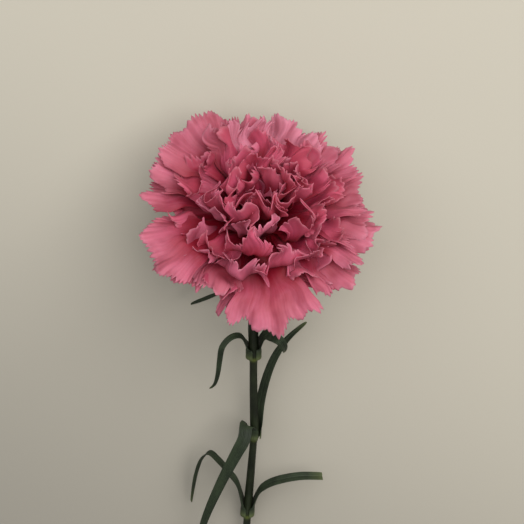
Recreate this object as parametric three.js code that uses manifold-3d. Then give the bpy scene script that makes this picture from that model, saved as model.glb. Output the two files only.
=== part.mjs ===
// Cut carnation lying on its side: one double bloom in its calyx, a jointed
// stem with swollen nodes, and pairs of narrow leaves clasping the nodes.
// Millimetres, +Z up.  The flower rests on the pressed petals at the back of
// the bloom and on the cut end of the stem; the stem runs towards -Y.

import * as THREE from 'three';
import Module from 'manifold-3d';

// ---------------------------------------------------------------- dimensions

// Middle of the flower's footprint, seen from the foot of the calyx mouth.
const FOOTPRINT = { x: -6, y: -84.3 };
const BLADE = 0.6;              // thickness of a petal, a bract or a leaf
const GAP = 0.35;               // clearance between separate pieces
const BLOOM_TILT = 30;          // degrees the bloom's axis rises from the table
const BLOOM_HEIGHT = 34;        // height of the calyx mouth over the table
const CALYX_LENGTH = 27;        // mouth to base, along the bloom's axis
const CALYX_RADIUS = 6.8;       // outside, near the mouth
const CALYX_WALL = 0.75;
const CALYX_TEETH = 5;
const TOOTH_LENGTH = 4.5;
const CLAW_LIFT = 80;           // degrees a petal's claw rises from its root
const CLAW_HALF_WIDTH = 1.6;
const MARGIN_TOOTH = 1.5;       // depth of the notches in a petal's margin
const COARSEN = 0.2;            // detail finer than this is merged in the bloom
const CRUMPLE = { shift: 1.3, from: 22, to: 36 };  // of the bloom's crowded middle
const STEM_SIDES = 12;
const SHEATH_BELOW = 1.6;       // how far a leaf's sheath starts below its node
const SHEATH_ABOVE = 3.4;       // ... and how far above the node the blade frees
const SHEATH_ARC = 75;          // half angle of the stem that one leaf clasps

// Layers of the bloom: waves across a petal, and how early they set in
// (a high number keeps them to the margin), with the grid they are built on.
const LAYERS = {
  ring: { waves: 2.2, onset: 2.6, columns: 9, rows: [-1, 0, 0.5, 1] },
  rest: { waves: 1.4, onset: 2.4, columns: 7, rows: [-1, 0.2, 0.6, 0.8, 1] },
  inner: { waves: 1.7, onset: 1.4, columns: 7, rows: [-1, 0, 0.5, 1] },
  heart: { waves: 1.8, onset: 1.3, columns: 5, rows: [-1, 0, 0.5, 1] },
};

// Petals set one by one.  turn: degrees round the axis from the right side,
// 90 towards the table; reach and rise: where the middle of the margin lies,
// out from the axis and above the mouth; tip: slope there; limb: length of the
// broad part; fan: its half angle; cup: crosswise curvature, 1/mm; roll: twist
// to the tip; ruffle: height of the waves at the margin.  Where given, belly:
// how far the limb swells out before it curls up; fold: depth of the crease
// along its middle; lobing: how strongly the margin is lobed.  A null is a petal
// too deep among the others to matter here; it keeps the draws of those after it.
const PETALS = {
  ring: [
    // turn reach rise tip limb fan cup roll ruffle belly fold lobing
    [130, 38, 21.5, 28, 29, 40, 0.006, -8, 1.6, 0, 0, 0.5],
    [95, 24, 27.5, 50, 24, 26, 0.030, 0, 1.0],
    [70, 32, 21.2, 32, 27, 37, 0.006, 6, 1.6, 0, 0, 0.5],
    [53, 33.7, 17.5, 26, 27, 36, 0.008, 4, 1.8],
    [40, 38.3, 13, 18, 27, 36, 0.010, -6, 1.8],
    [21, 36, 10, 12, 27, 42, 0.008, 0, 1.6],
    [3, 36.3, 6, 2, 28, 40, 0.006, 4, 1.8],
    [-12, 38.5, 4, -2, 28, 36, 0.004, 8, 2.0],
    [-29, 36.5, -3, -14, 28, 36, 0.004, 12, 2.0],
    [-50, 30.5, -4, -22, 24, 30, 0.000, 16, 2.0],
    [-81.5, 36.5, -8.5, -58, 28, 40, -0.006, 0, 1.1, 0, 1.5, 1.1],
    [-127, 31, 1, 10, 22, 40, 0.040, -10, 2.0],
    [205, 39, 5, -6, 28, 37, -0.004, -10, 1.2, 0, 0, 0.3],
    [157, 39, 10, 8, 29, 31, 0.004, -6, 1.2, 0, 0, 0.6],
    [144, 37.5, 15.5, 18, 28, 40, 0.006, -6, 1.6],
  ],
  rest: [
    [75, 42.5, -2.6, 58, 28, 38, 0, 4, 0.8],
    [105, 42.6, -2.8, 58, 28, 38, 0, -4, 0.8],
    [90, 41, -3, 60, 28, 40, 0, 0, 0.8],
  ],
  inner: [
    [125, 22, 22.5, 62, 22, 34, 0.020, 16, 2.6],
    null,
    [60, 21, 25, 60, 22, 38, 0.020, 0, 2.4],
    [35, 24, 22, 54, 22, 38, 0.010, 0, 2.4],
    [-11, 23, 18, 60, 22, 36, 0.030, -6, 2.6],
    [-39, 18.2, 20, 104, 19, 30, 0.050, 4, 1.8, 0.3],
    null,
    [-67, 20.5, 12.5, 110, 21, 34, 0.020, 8, 1.8, 0.45],
    [-102, 22.5, 12, 112, 21, 34, 0.020, -6, 1.6, 0.45],
    [-99, 19.5, 20, 116, 19, 32, 0.070, 0, 1.4, 0.35],
    [-124, 29.6, 1, 40, 20, 30, 0.070, -10, 2.6],
    [-143, 25, 10, 60, 20, 30, 0.050, -20, 2.6],
    [180, 28.5, 8.5, 40, 22, 30, 0.030, 6, 2.4],
    [155, 19.6, 18.5, 70, 20, 34, -0.070, 0, 0.8],
  ],
  heart: [
    [92, 7.4, 27, 100, 17, 34, 0.080, 0, 1.6],
    [136, 10.6, 25.5, 84, 18, 34, 0.030, 20, 2.6],
    [81, 15.7, 25, 76, 20, 36, 0.030, -6, 2.2],
    [24, 12.8, 26, 92, 18, 38, 0.070, 10, 2.0],
    [-28, 11.3, 25, 98, 17, 36, 0.050, 0, 2.2],
    [-75, 9.5, 25, 96, 16, 26, 0.050, -36, 2.0],
    [-126, 11.5, 24, 104, 20, 38, 0.040, 0, 2.2, 0.25],
    null,
  ],
};

// Limp petals under the ring, spread evenly either side of the resting ones.
const SKIRT = { turns: [14, 46, 136, 203], reach: 35.5, rise: 2, seed: 11 };

// The stem's centre line from the calyx to the cut, and its radius along it.
const STEM = [
  // x y z radius
  [-0.6, -28.5, 18.2, 1.9],
  [-1.2, -34, 16.8, 1.9],
  [-1.8, -43.6, 14.9, 1.9],
  [-1.7, -52.8, 13.4, 1.7],
  [-1.8, -58.8, 12.5, 1.4],
  [-1.8, -69.8, 11.1, 1.45],
  [-1.6, -82.8, 9.5, 1.6],
  [-1.5, -87.6, 9.0, 1.6],
  [-1.9, -92.5, 8.5, 1.35],
  [-3.2, -109.6, 6.8, 1.55],
  [-4.2, -122.3, 5.8, 1.6],
  [-4.5, -128.5, 5.4, 1.4],
  [-5.8, -152, 4.2, 1.6],
  [-6.0, -157, 4.0, 1.6],
  [-6.2, -163, 3.7, 1.4],
  [-6.8, -185, 3.35, 1.5],
  [-6.9, -190, 3.1, 1.5],
  [-6.9, -196, 2.6, 1.45],
  [-6.7, -206, 1.55, 1.55],
];

// Leaves: where the node lies along the stem (y), the side it clasps (degrees
// from +X towards +Z), half width of the blade, how far it twists, the share of
// it that narrows (slim) and the width left at its end (tip), and its
// middle line.
const LEAVES = {
  leaf_top_left: {
    node: -34.5, side: 180, width: 1.9, twist: -40,
    blade: [[-8, -29.6, 16.5], [-13.9, -30.6, 14.4], [-19, -33.4, 12], [-24.2, -36.5, 9.2]],
  },
  leaf_top_right: {
    node: -34.5, side: 0, width: 1.6, twist: 50,
    blade: [[6, -31, 16.5], [11, -31.5, 14.6], [15.5, -33.8, 12.4], [18, -37, 10.6]],
  },
  leaf_a_left: {
    node: -54, side: 172, width: 1.1, twist: 0,
    blade: [
      [-6.2, -44.4, 20], [-9.6, -43, 24.6], [-12.6, -46, 26], [-13.6, -51.6, 25],
      [-14.4, -58, 22.4], [-15.6, -63.2, 19.6], [-17.6, -66, 18],
    ],
  },
  leaf_a_right: {
    node: -54, side: -8, width: 2.1, twist: 40,
    blade: [
      [2.6, -44.2, 19], [4.8, -42.6, 24], [7.6, -43.4, 26.6], [9.2, -46.6, 25],
      [9.4, -50, 21.6],
    ],
  },
  leaf_b_left: {
    node: -88.6, side: 130, width: 2.6, twist: 0,
    blade: [
      [-4.6, -82.4, 14.8], [-5.4, -86.2, 18], [-8.6, -92.6, 18.8], [-14.1, -105, 17.4],
      [-20, -121.6, 13.4], [-24.6, -139, 10],
    ],
  },
  leaf_b_right: {
    node: -88.6, side: -50, width: 2.3, twist: 0, slim: 0.8,
    blade: [
      [0.9, -76, 8.2], [2.7, -67, 9], [5.2, -59, 9.8], [8.1, -53.2, 10.2],
      [11.6, -48.6, 10], [17.4, -43.4, 9.4],
    ],
  },
  leaf_c_left: {
    node: -123.4, side: 180, width: 2.4, twist: -10,
    blade: [
      [-8.2, -109.6, 9.6], [-11.6, -103.6, 11], [-15.4, -98.6, 11.2], [-18.6, -96, 10.6],
      [-21.2, -99, 9.6], [-23.2, -105, 8.4], [-24.6, -112, 6.6], [-25.8, -120, 4.6],
    ],
  },
  leaf_c_right: {
    node: -123.4, side: 0, width: 2.1, twist: 0, tip: 0.85,
    blade: [
      [0.4, -113.2, 8.8], [3.6, -109, 11], [8.6, -106.2, 12.4], [16, -104.8, 12.4],
      [24, -105.4, 11.4],
    ],
  },
  leaf_d_left: {
    node: -157.4, side: 170, width: 1.9, twist: -50,
    blade: [[-12.5, -148, 6.4], [-22, -142.4, 6.6], [-34, -141.4, 5.2], [-47, -146, 2.4]],
  },
  leaf_d_right: {
    node: -157.4, side: -10, width: 1.9, twist: 50,
    blade: [[0.6, -147.6, 7.4], [10, -140.6, 9.2], [24, -138.6, 8], [38, -143.6, 4.4]],
  },
  leaf_e_left: {
    node: -190.4, side: 170, width: 1.9, twist: -50,
    blade: [[-13.5, -181, 5.6], [-24, -174, 7.6], [-38, -171.6, 6.8], [-52, -176.6, 3.6]],
  },
  leaf_e_right: {
    node: -190.4, side: -10, width: 1.9, twist: 50,
    blade: [[-0.6, -180.6, 6.4], [9, -172.4, 8.8], [24, -169, 8], [40, -173.6, 4.6]],
  },
};

const wasm = await Module();
wasm.setup();

// ------------------------------------------------------------- small helpers

const rad = THREE.MathUtils.degToRad;
const clamp = THREE.MathUtils.clamp;
const vec = (x, y, z) => new THREE.Vector3(x, y, z);

/** Seeded draws between 0 and 1, the same on every run. */
function draws(seed) {
  let state = seed >>> 0;
  return () => {
    state = (state + 0x6d2b79f5) >>> 0;
    let t = Math.imul(state ^ (state >>> 15), 1 | state);
    t = (t + Math.imul(t ^ (t >>> 7), 61 | t)) ^ t;
    return ((t ^ (t >>> 14)) >>> 0) / 4294967296;
  };
}

/** A closed geometry from points and triples of indices. */
function solid(points, faces) {
  const geometry = new THREE.BufferGeometry();
  const flat = points.flatMap((p) => [p.x, p.y, p.z]);
  geometry.setAttribute('position', new THREE.Float32BufferAttribute(flat, 3));
  geometry.setIndex(faces.flat());
  return geometry;
}

/** Unit normals of a grid of points, from the neighbours of each one. */
function gridNormals(grid) {
  const rows = grid.length;
  const columns = grid[0].length;
  return grid.map((line, i) => line.map((_, j) => {
    const before = grid[Math.max(i - 1, 0)][j];
    const after = grid[Math.min(i + 1, rows - 1)][j];
    const left = grid[i][Math.max(j - 1, 0)];
    const right = grid[i][Math.min(j + 1, columns - 1)];
    const down = after.clone().sub(before);
    const over = right.clone().sub(left);
    return over.cross(down).normalize();
  }));
}

/** A blade of even thickness about a grid of points, closed round its rim. */
function blade(grid, thickness = BLADE) {
  const rows = grid.length;
  const columns = grid[0].length;
  const normals = gridNormals(grid);
  const faceOf = (sign) => grid.flatMap((line, i) => line.map((p, j) => {
    const away = normals[i][j].clone();
    if (p.z <= thickness / 2) {
      away.set(0, 0, Math.sign(away.z) || 1);
    }
    const moved = away.multiplyScalar(sign * thickness / 2).add(p);
    moved.z = Math.max(moved.z, 0);
    return moved;
  }));
  const points = [...faceOf(1), ...faceOf(-1)];
  const at = (i, j, back) => i * columns + j + (back ? rows * columns : 0);
  const faces = [];
  for (let i = 0; i + 1 < rows; i += 1) {
    for (let j = 0; j + 1 < columns; j += 1) {
      const corners = [[i, j], [i, j + 1], [i + 1, j + 1], [i + 1, j]];
      const even = (i + j) % 2 === 0;
      const split = even ? [[0, 1, 2], [0, 2, 3]] : [[0, 1, 3], [1, 2, 3]];
      for (const [a, b, c] of split) {
        faces.push([at(...corners[a], false), at(...corners[b], false), at(...corners[c], false)]);
        faces.push([at(...corners[c], true), at(...corners[b], true), at(...corners[a], true)]);
      }
    }
  }
  const rim = [];
  for (let j = 0; j < columns - 1; j += 1) rim.push([0, j]);
  for (let i = 0; i < rows - 1; i += 1) rim.push([i, columns - 1]);
  for (let j = columns - 1; j > 0; j -= 1) rim.push([rows - 1, j]);
  for (let i = rows - 1; i > 0; i -= 1) rim.push([i, 0]);
  rim.forEach((here, n) => {
    const next = rim[(n + 1) % rim.length];
    faces.push([at(...next, false), at(...here, false), at(...here, true)]);
    faces.push([at(...next, false), at(...here, true), at(...next, true)]);
  });
  return solid(points, faces);
}

/** Rings of points joined into a closed tube, with both ends capped. */
function closedRings(rings) {
  const sides = rings[0].length;
  const points = rings.flat();
  const faces = [];
  for (let i = 0; i + 1 < rings.length; i += 1) {
    for (let j = 0; j < sides; j += 1) {
      const k = (j + 1) % sides;
      const [a, b] = [i * sides + j, i * sides + k];
      const [c, d] = [(i + 1) * sides + k, (i + 1) * sides + j];
      faces.push([a, b, c], [a, c, d]);
    }
  }
  const middle = (ring) => ring.reduce((sum, p) => sum.add(p), vec(0, 0, 0)).divideScalar(sides);
  const first = points.push(middle(rings[0])) - 1;
  const last = points.push(middle(rings[rings.length - 1])) - 1;
  const end = (rings.length - 1) * sides;
  for (let j = 0; j < sides; j += 1) {
    const k = (j + 1) % sides;
    faces.push([first, k, j], [last, end + j, end + k]);
  }
  return solid(points, faces);
}

/** The same geometry as a body that can be joined and cut, facing outwards. */
function body(geometry) {
  const vertProperties = new Float32Array(geometry.attributes.position.array);
  const build = (triVerts) => new wasm.Manifold(
    new wasm.Mesh({ numProp: 3, vertProperties, triVerts }),
  );
  const faces = new Uint32Array(geometry.index.array);
  const made = build(faces);
  return made.volume() > 0 ? made : build(faces.reverse());
}

/** A body back as geometry. */
function geometryOf(made) {
  const mesh = made.getMesh();
  const geometry = new THREE.BufferGeometry();
  const points = [];
  for (let v = 0; v < mesh.vertProperties.length; v += mesh.numProp) {
    points.push(...mesh.vertProperties.slice(v, v + 3));
  }
  geometry.setAttribute('position', new THREE.Float32BufferAttribute(points, 3));
  geometry.setIndex([...mesh.triVerts]);
  return geometry;
}

/** Points of a smooth curve through the given ones (uniform Catmull-Rom). */
function smooth(points, steps) {
  const pick = (i) => points[clamp(i, 0, points.length - 1)];
  const line = [];
  for (let i = 0; i + 1 < points.length; i += 1) {
    const [a, b, c, d] = [pick(i - 1), pick(i), pick(i + 1), pick(i + 2)];
    for (let n = 0; n < steps; n += 1) {
      const t = n / steps;
      line.push(b.map((_, k) => 0.5 * (2 * b[k] + (c[k] - a[k]) * t
        + (2 * a[k] - 5 * b[k] + 4 * c[k] - d[k]) * t * t
        + (3 * b[k] - a[k] - 3 * c[k] + d[k]) * t * t * t)));
    }
  }
  line.push([...points[points.length - 1]]);
  return line;
}

/** Unit directions along a line of points. */
function tangents(line) {
  return line.map((_, i) => {
    const before = line[Math.max(i - 1, 0)];
    const after = line[Math.min(i + 1, line.length - 1)];
    return after.clone().sub(before).normalize();
  });
}

/** Carries a direction along a line so that it turns as little as it can. */
function carry(line, start) {
  const along = tangents(line);
  let now = start.clone().addScaledVector(along[0], -start.dot(along[0])).normalize();
  return along.map((direction) => {
    now = now.clone().addScaledVector(direction, -now.dot(direction)).normalize();
    return now;
  });
}

// --------------------------------------------------------------------- bloom

const tilt = rad(BLOOM_TILT);
const MOUTH = vec(0, 0, BLOOM_HEIGHT);
const AXIS = vec(0, Math.cos(tilt), Math.sin(tilt));
const RIGHT = vec(1, 0, 0);
const DOWN = vec(0, Math.sin(tilt), -Math.cos(tilt));

/** Place in space of a point given round the bloom's axis. */
function aroundAxis(radius, angle, height) {
  return MOUTH.clone()
    .addScaledVector(RIGHT, radius * Math.cos(angle))
    .addScaledVector(DOWN, radius * Math.sin(angle))
    .addScaledVector(AXIS, height);
}

/** Middle line of a petal, from its root to its tip and a little beyond. */
function midline({ root, reach, rise, tip, belly }) {
  const span = Math.hypot(reach - root, rise);
  const pull = 0.36 * span;
  const back = (0.36 + belly) * span;
  const end = rad(tip);
  const start = rad(CLAW_LIFT);
  const xs = [root, root + pull * Math.cos(start), reach - back * Math.cos(end), reach];
  const ys = [0, pull * Math.sin(start), rise - back * Math.sin(end), rise];
  const bezier = (p, u) => (1 - u) ** 3 * p[0] + 3 * (1 - u) ** 2 * u * p[1]
    + 3 * (1 - u) * u * u * p[2] + u ** 3 * p[3];
  const slope = (p, u) => 3 * (1 - u) ** 2 * (p[1] - p[0])
    + 6 * (1 - u) * u * (p[2] - p[1]) + 3 * u * u * (p[3] - p[2]);
  const stations = [];
  let length = 0;
  let turned = start;
  for (let n = 0; n <= 40; n += 1) {
    const u = n / 40;
    const here = { out: bezier(xs, u), up: bezier(ys, u) };
    const raw = Math.atan2(slope(ys, u), slope(xs, u));
    turned += Math.atan2(Math.sin(raw - turned), Math.cos(raw - turned));
    const last = stations[n - 1];
    length += last ? Math.hypot(here.out - last.out, here.up - last.up) : 0;
    stations.push({ ...here, lift: turned, length });
  }
  const at = (distance) => {
    if (distance >= length) {
      const last = stations[40];
      const more = distance - length;
      return {
        out: last.out + more * Math.cos(last.lift),
        up: last.up + more * Math.sin(last.lift),
        lift: last.lift,
      };
    }
    const n = Math.max(stations.findIndex((s) => s.length > distance), 1);
    const [a, b] = [stations[n - 1], stations[n]];
    const part = (distance - a.length) / (b.length - a.length);
    const mix = (key) => a[key] + part * (b[key] - a[key]);
    return { out: mix('out'), up: mix('up'), lift: mix('lift') };
  };
  return { length, at };
}

/** Pushes the crowded middle of the bloom about, neighbouring petals alike. */
function crumple(point, far) {
  const local = point.clone().sub(MOUTH);
  const [a, b, h] = [local.dot(RIGHT), local.dot(DOWN), local.dot(AXIS)];
  const inside = clamp((CRUMPLE.to - Math.hypot(a, b)) / (CRUMPLE.to - CRUMPLE.from), 0, 1);
  const weight = CRUMPLE.shift * far * inside;
  const aside = Math.sin(0.45 * b + 0.3 * h + 0.9) + 0.6 * Math.sin(0.8 * h - 0.5 * a + 2);
  const downward = Math.sin(0.47 * a - 0.35 * h + 2.4) + 0.6 * Math.sin(0.75 * a + 0.4 * b + 0.3);
  const raised = Math.sin(0.4 * a + 0.42 * b + 4) + 0.6 * Math.sin(0.72 * b - 0.6 * a + 1.1);
  return point.clone().addScaledVector(RIGHT, weight * aside)
    .addScaledVector(DOWN, weight * downward)
    .addScaledVector(AXIS, weight * raised);
}

/** Grid of points on a petal: a narrow claw that widens to a waved limb. */
function petalGrid(petal, layer) {
  const line = midline(petal);
  const limb = Math.min(petal.limb, 0.92 * line.length);
  const claw = line.length - limb;
  const [a, b, c] = petal.phases;
  const turn = rad(petal.turn);
  const outward = RIGHT.clone().multiplyScalar(Math.cos(turn)).addScaledVector(DOWN, Math.sin(turn));
  const sideways = RIGHT.clone().multiplyScalar(-Math.sin(turn)).addScaledVector(DOWN, Math.cos(turn));
  const columns = Array.from({ length: layer.columns }, (_, j) => j);
  return layer.rows.map((q) => columns.map((j) => {
    const t = (2 * j) / (layer.columns - 1) - 1;
    const far = Math.max(q, 0);
    const notch = (j % 2) * MARGIN_TOOTH / limb;
    const lobed = 0.06 * Math.sin(2.1 * Math.PI * t + a) + 0.045 * Math.sin(4.7 * Math.PI * t + b);
    const lobes = 1 + petal.lobing * lobed;
    const edge = lobes * (1 - 0.16 * Math.abs(t) ** 3) - notch;
    const radius = limb * (far + (edge - 1) * far ** 3);
    const angle = t * rad(petal.fan);
    const wave = petal.ruffle * far ** layer.onset;
    const w = Math.PI * layer.waves;
    let distance = claw * (1 + Math.min(q, 0)) + radius * Math.cos(0.85 * angle);
    distance += 0.22 * wave * Math.cos(1.3 * w * t + c);
    const across = t * CLAW_HALF_WIDTH * (1 - far) + radius * Math.sin(angle);
    let lift = wave * (Math.sin(w * t + a) + 0.22 * far * Math.sin(2.6 * w * t + b));
    lift -= petal.fold * Math.exp(-((across / 2.6) ** 2)) * Math.min(3 * far, 1);
    const bend = Math.abs(petal.cup) < 1e-6 ? 1e-6 : petal.cup * Math.max(far, 1e-3) ** 0.6;
    const aside = Math.sin(bend * across) / bend;
    lift += (1 - Math.cos(bend * across)) / bend;
    const spot = line.at(distance);
    const roll = rad(petal.roll) * clamp(distance / line.length, 0, 1.2) ** 1.5;
    const face = outward.clone().multiplyScalar(-Math.sin(spot.lift))
      .addScaledVector(AXIS, Math.cos(spot.lift));
    const flank = sideways.clone().multiplyScalar(Math.cos(roll)).addScaledVector(face, Math.sin(roll));
    const normal = face.multiplyScalar(Math.cos(roll)).addScaledVector(sideways, -Math.sin(roll));
    const smoothPoint = MOUTH.clone().addScaledVector(outward, spot.out)
      .addScaledVector(AXIS, spot.up)
      .addScaledVector(flank, aside)
      .addScaledVector(normal, lift);
    const point = crumple(smoothPoint, far);
    point.z = Math.max(point.z, BLADE / 2);
    return point;
  }));
}

/** Every petal of the bloom: the ones set by hand and the seeded skirt. */
function allPetals() {
  const next = draws(SKIRT.seed);
  const phases = () => [next(), next(), next()].map((d) => d * 2 * Math.PI);
  const petals = [];
  for (const [layer, rows] of Object.entries(PETALS)) {
    for (const row of rows) {
      const waves = phases();
      if (!row) continue;
      const [turn, reach, rise, tip, limb, fan, cup, roll, ruffle] = row;
      const [belly = 0, fold = 0, lobing = 1] = row.slice(9);
      petals.push({
        layer,
        turn,
        reach,
        rise,
        tip,
        limb,
        fan,
        cup,
        roll,
        ruffle,
        belly,
        fold,
        lobing,
        root: clamp(0.6 + 0.12 * reach, 1, 5.2),
        phases: waves,
      });
    }
  }
  for (const middle of SKIRT.turns) {
    const [aside, longer, lower, twist] = [next(), next(), next(), next()];
    const turn = middle + 8 * (aside - 0.5);
    petals.push({
      layer: 'inner',
      turn,
      reach: SKIRT.reach + 2 * longer,
      rise: SKIRT.rise - 3 * lower,
      tip: -6 - 8 * lower,
      limb: 27,
      fan: 42,
      cup: 0,
      roll: 20 * (twist - 0.5),
      ruffle: 1.6,
      belly: 0,
      fold: 0,
      lobing: 1,
      root: 5.2,
      phases: phases(),
    });
  }
  return petals;
}

/** The bundle of claws inside the calyx that every petal is rooted in. */
function clawBundle() {
  const profile = [
    [0.05, -25.2], [2.3, -25], [4.5, -20], [5.3, -10], [5.5, 0.6],
    [8, 4], [9.6, 7.5], [8.6, 11], [5.5, 13], [0.05, 13.6],
  ];
  const rings = profile.map(([radius, height]) => Array.from(
    { length: 14 },
    (_, n) => aroundAxis(radius, (2 * Math.PI * n) / 14, height),
  ));
  return closedRings(rings);
}

/** All petals joined to the bundle, without sealed hollows or loose scraps. */
function bloom() {
  const parts = allPetals().map((petal) => body(blade(petalGrid(petal, LAYERS[petal.layer]))));
  const joined = wasm.Manifold.union([body(clawBundle()), ...parts]);
  const pieces = joined.simplify(COARSEN).decompose();
  pieces.sort((one, other) => other.volume() - one.volume());
  return geometryOf(pieces[0]);
}

// --------------------------------------------------------------------- calyx

/** Tube of sepals round the claws, closed below and toothed at its mouth. */
function calyx() {
  const outside = [
    [3.0, -CALYX_LENGTH], [4.5, -25.6], [5.9, -20.5], [6.5, -12], [CALYX_RADIUS, -TOOTH_LENGTH - 0.8],
  ];
  const sides = CALYX_TEETH * 6;
  const rim = (n) => {
    const phase = ((n / sides) * CALYX_TEETH) % 1;
    return -0.6 - TOOTH_LENGTH * Math.abs(2 * phase - 1) ** 0.8;
  };
  const ring = (radius, heightOf) => Array.from({ length: sides }, (_, n) => {
    const swell = 1 + 0.012 * Math.cos((2 * Math.PI * n * CALYX_TEETH) / sides);
    return aroundAxis(radius * swell, (2 * Math.PI * n) / sides, heightOf(n));
  });
  const up = outside.map(([radius, height]) => ring(radius, () => height - 0.02));
  up.push(ring(CALYX_RADIUS + 0.05, rim));
  const inside = outside.slice(1).map(([radius, height]) => ring(radius - CALYX_WALL, () => height));
  const down = [ring(CALYX_RADIUS + 0.05 - CALYX_WALL, rim), ...inside.reverse()];
  return closedRings([...up, ...down]);
}

/** A small leaf hugging the base of the calyx. */
function bract(turn, tall, half) {
  const middle = rad(turn);
  const columns = [-1, -0.5, 0, 0.5, 1];
  const rows = [0, 0.2, 0.45, 0.7, 0.9, 1];
  const grid = rows.map((q) => columns.map((t) => {
    const height = -CALYX_LENGTH + 0.6 + tall * q;
    const radius = THREE.MathUtils.lerp(4.0, 6.5, clamp(q * tall / 8, 0, 1) ** 0.6) + GAP + 0.55;
    const width = half * (0.35 + 1.6 * q * (1 - q) + 0.3 * (1 - q)) * (1 - q ** 6 * 0.8);
    return aroundAxis(radius, middle + (t * width) / radius, height - 0.4 * t * t);
  }));
  return blade(grid);
}

// ---------------------------------------------------------- stem and foliage

const top = aroundAxis(0, 0, -CALYX_LENGTH - 1.6 * GAP);
const neck = aroundAxis(0, 0, -CALYX_LENGTH - 2.2);
const stemStations = smooth(
  [[top.x, top.y, top.z, 2.6], [neck.x, neck.y, neck.z, 2.1], ...STEM],
  2,
);
const stemLine = stemStations.map(([x, y, z]) => vec(x, y, z));

/** The stem: round, thicker at its nodes, flared under the calyx. */
function stem() {
  const ups = carry(stemLine, vec(0, 0, 1));
  const along = tangents(stemLine);
  const rings = stemStations.map((station, i) => {
    const radius = station[3];
    const over = along[i].clone().cross(ups[i]);
    return Array.from({ length: STEM_SIDES }, (_, n) => {
      const angle = (2 * Math.PI * n) / STEM_SIDES;
      return stemLine[i].clone()
        .addScaledVector(over, radius * Math.cos(angle))
        .addScaledVector(ups[i], radius * Math.sin(angle));
    });
  });
  return closedRings(rings);
}

/** Point, direction and radius of the stem where it passes a given y. */
function stemAt(y) {
  const i = Math.max(stemLine.findIndex((p) => p.y < y), 1);
  const part = (stemLine[i - 1].y - y) / (stemLine[i - 1].y - stemLine[i].y);
  const radius = THREE.MathUtils.lerp(stemStations[i - 1][3], stemStations[i][3], part);
  return {
    point: stemLine[i - 1].clone().lerp(stemLine[i], part),
    along: stemLine[i - 1].clone().sub(stemLine[i]).normalize(),
    radius,
  };
}

/** A narrow leaf: half a sheath round the stem, then a troughed blade. */
function leaf({ node, side, width, twist, slim = 0.45, tip = 0.1, blade: points }) {
  const angle = rad(side);
  const levels = [-SHEATH_BELOW, 0.4 * SHEATH_ABOVE, SHEATH_ABOVE].map((rise) => stemAt(node + rise));
  const reach = Math.max(...levels.map(({ radius }) => radius)) + GAP + BLADE / 2 + 0.22;
  const clasp = levels.map(({ point, along }) => {
    const upward = vec(0, 0, 1).addScaledVector(along, -along.z).normalize();
    const across = along.clone().cross(upward);
    const away = across.multiplyScalar(Math.cos(angle)).addScaledVector(upward, Math.sin(angle));
    return { spot: point.addScaledVector(away, reach), away };
  });
  const control = [...clasp.map(({ spot }) => spot.toArray()), ...points];
  const line = smooth(control, 2).map((p) => vec(...p));
  const ups = carry(line, clasp[0].away.clone().negate());
  const along = tangents(line);
  const columns = [-1, -0.5, 0, 0.5, 1];
  return blade(line.map((at, i) => {
    const q = i / (line.length - 1);
    const free = clamp((i - 2) / 4, 0, 1);
    const taper = tip + (1 - tip) * Math.sqrt(clamp((1 - q) / slim, 0, 1));
    const half = THREE.MathUtils.lerp(reach * rad(SHEATH_ARC), width * taper, free);
    const bend = THREE.MathUtils.lerp(1 / reach, 0.16, free);
    const turned = clamp((i - 5) / (line.length - 7), 0, 1);
    const up = ups[i].clone().applyAxisAngle(along[i], rad(twist) * turned);
    const over = along[i].clone().cross(up);
    return columns.map((t) => at.clone()
      .addScaledVector(over, Math.sin(bend * half * t) / bend)
      .addScaledVector(up, (1 - Math.cos(bend * half * t)) / bend));
  }));
}

// ------------------------------------------------------------------ assembly

const group = new THREE.Group();
group.name = 'cut_carnation';

function add(name, geometry, colour, roughness) {
  const closed = geometryOf(body(geometry));
  const material = new THREE.MeshStandardMaterial({ color: colour, roughness });
  const mesh = new THREE.Mesh(closed, material);
  mesh.name = name;
  group.add(mesh);
}

add('bloom', bloom(), 0xb8556b, 0.6);
add('calyx', calyx(), 0x4a5c38, 0.5);
[45, 135, 225, 315].forEach((turn, n) => {
  add(`bract_${n + 1}`, bract(turn, n % 2 ? 8.5 : 10, 3.6), 0x55683f, 0.55);
});
add('stem', stem(), 0x2f3a26, 0.5);
for (const [name, spec] of Object.entries(LEAVES)) {
  add(name, leaf(spec), 0x39462f, 0.5);
}

for (const mesh of group.children) {
  mesh.geometry.translate(-FOOTPRINT.x, -FOOTPRINT.y, 0);
}

export default group;
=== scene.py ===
"""Cut carnation lying on a table: crumpled petals, waxy calyx, jointed stem, veined leaves."""

import logging  # noqa: E402
import math  # noqa: E402
from dataclasses import dataclass, field  # noqa: E402
from enum import Enum  # noqa: E402
from typing import Callable, Iterator, Sequence  # noqa: E402

import bpy  # noqa: E402
import numpy as np  # noqa: E402
from mathutils import Matrix, Vector  # noqa: E402
from mathutils.bvhtree import BVHTree  # noqa: E402


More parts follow.
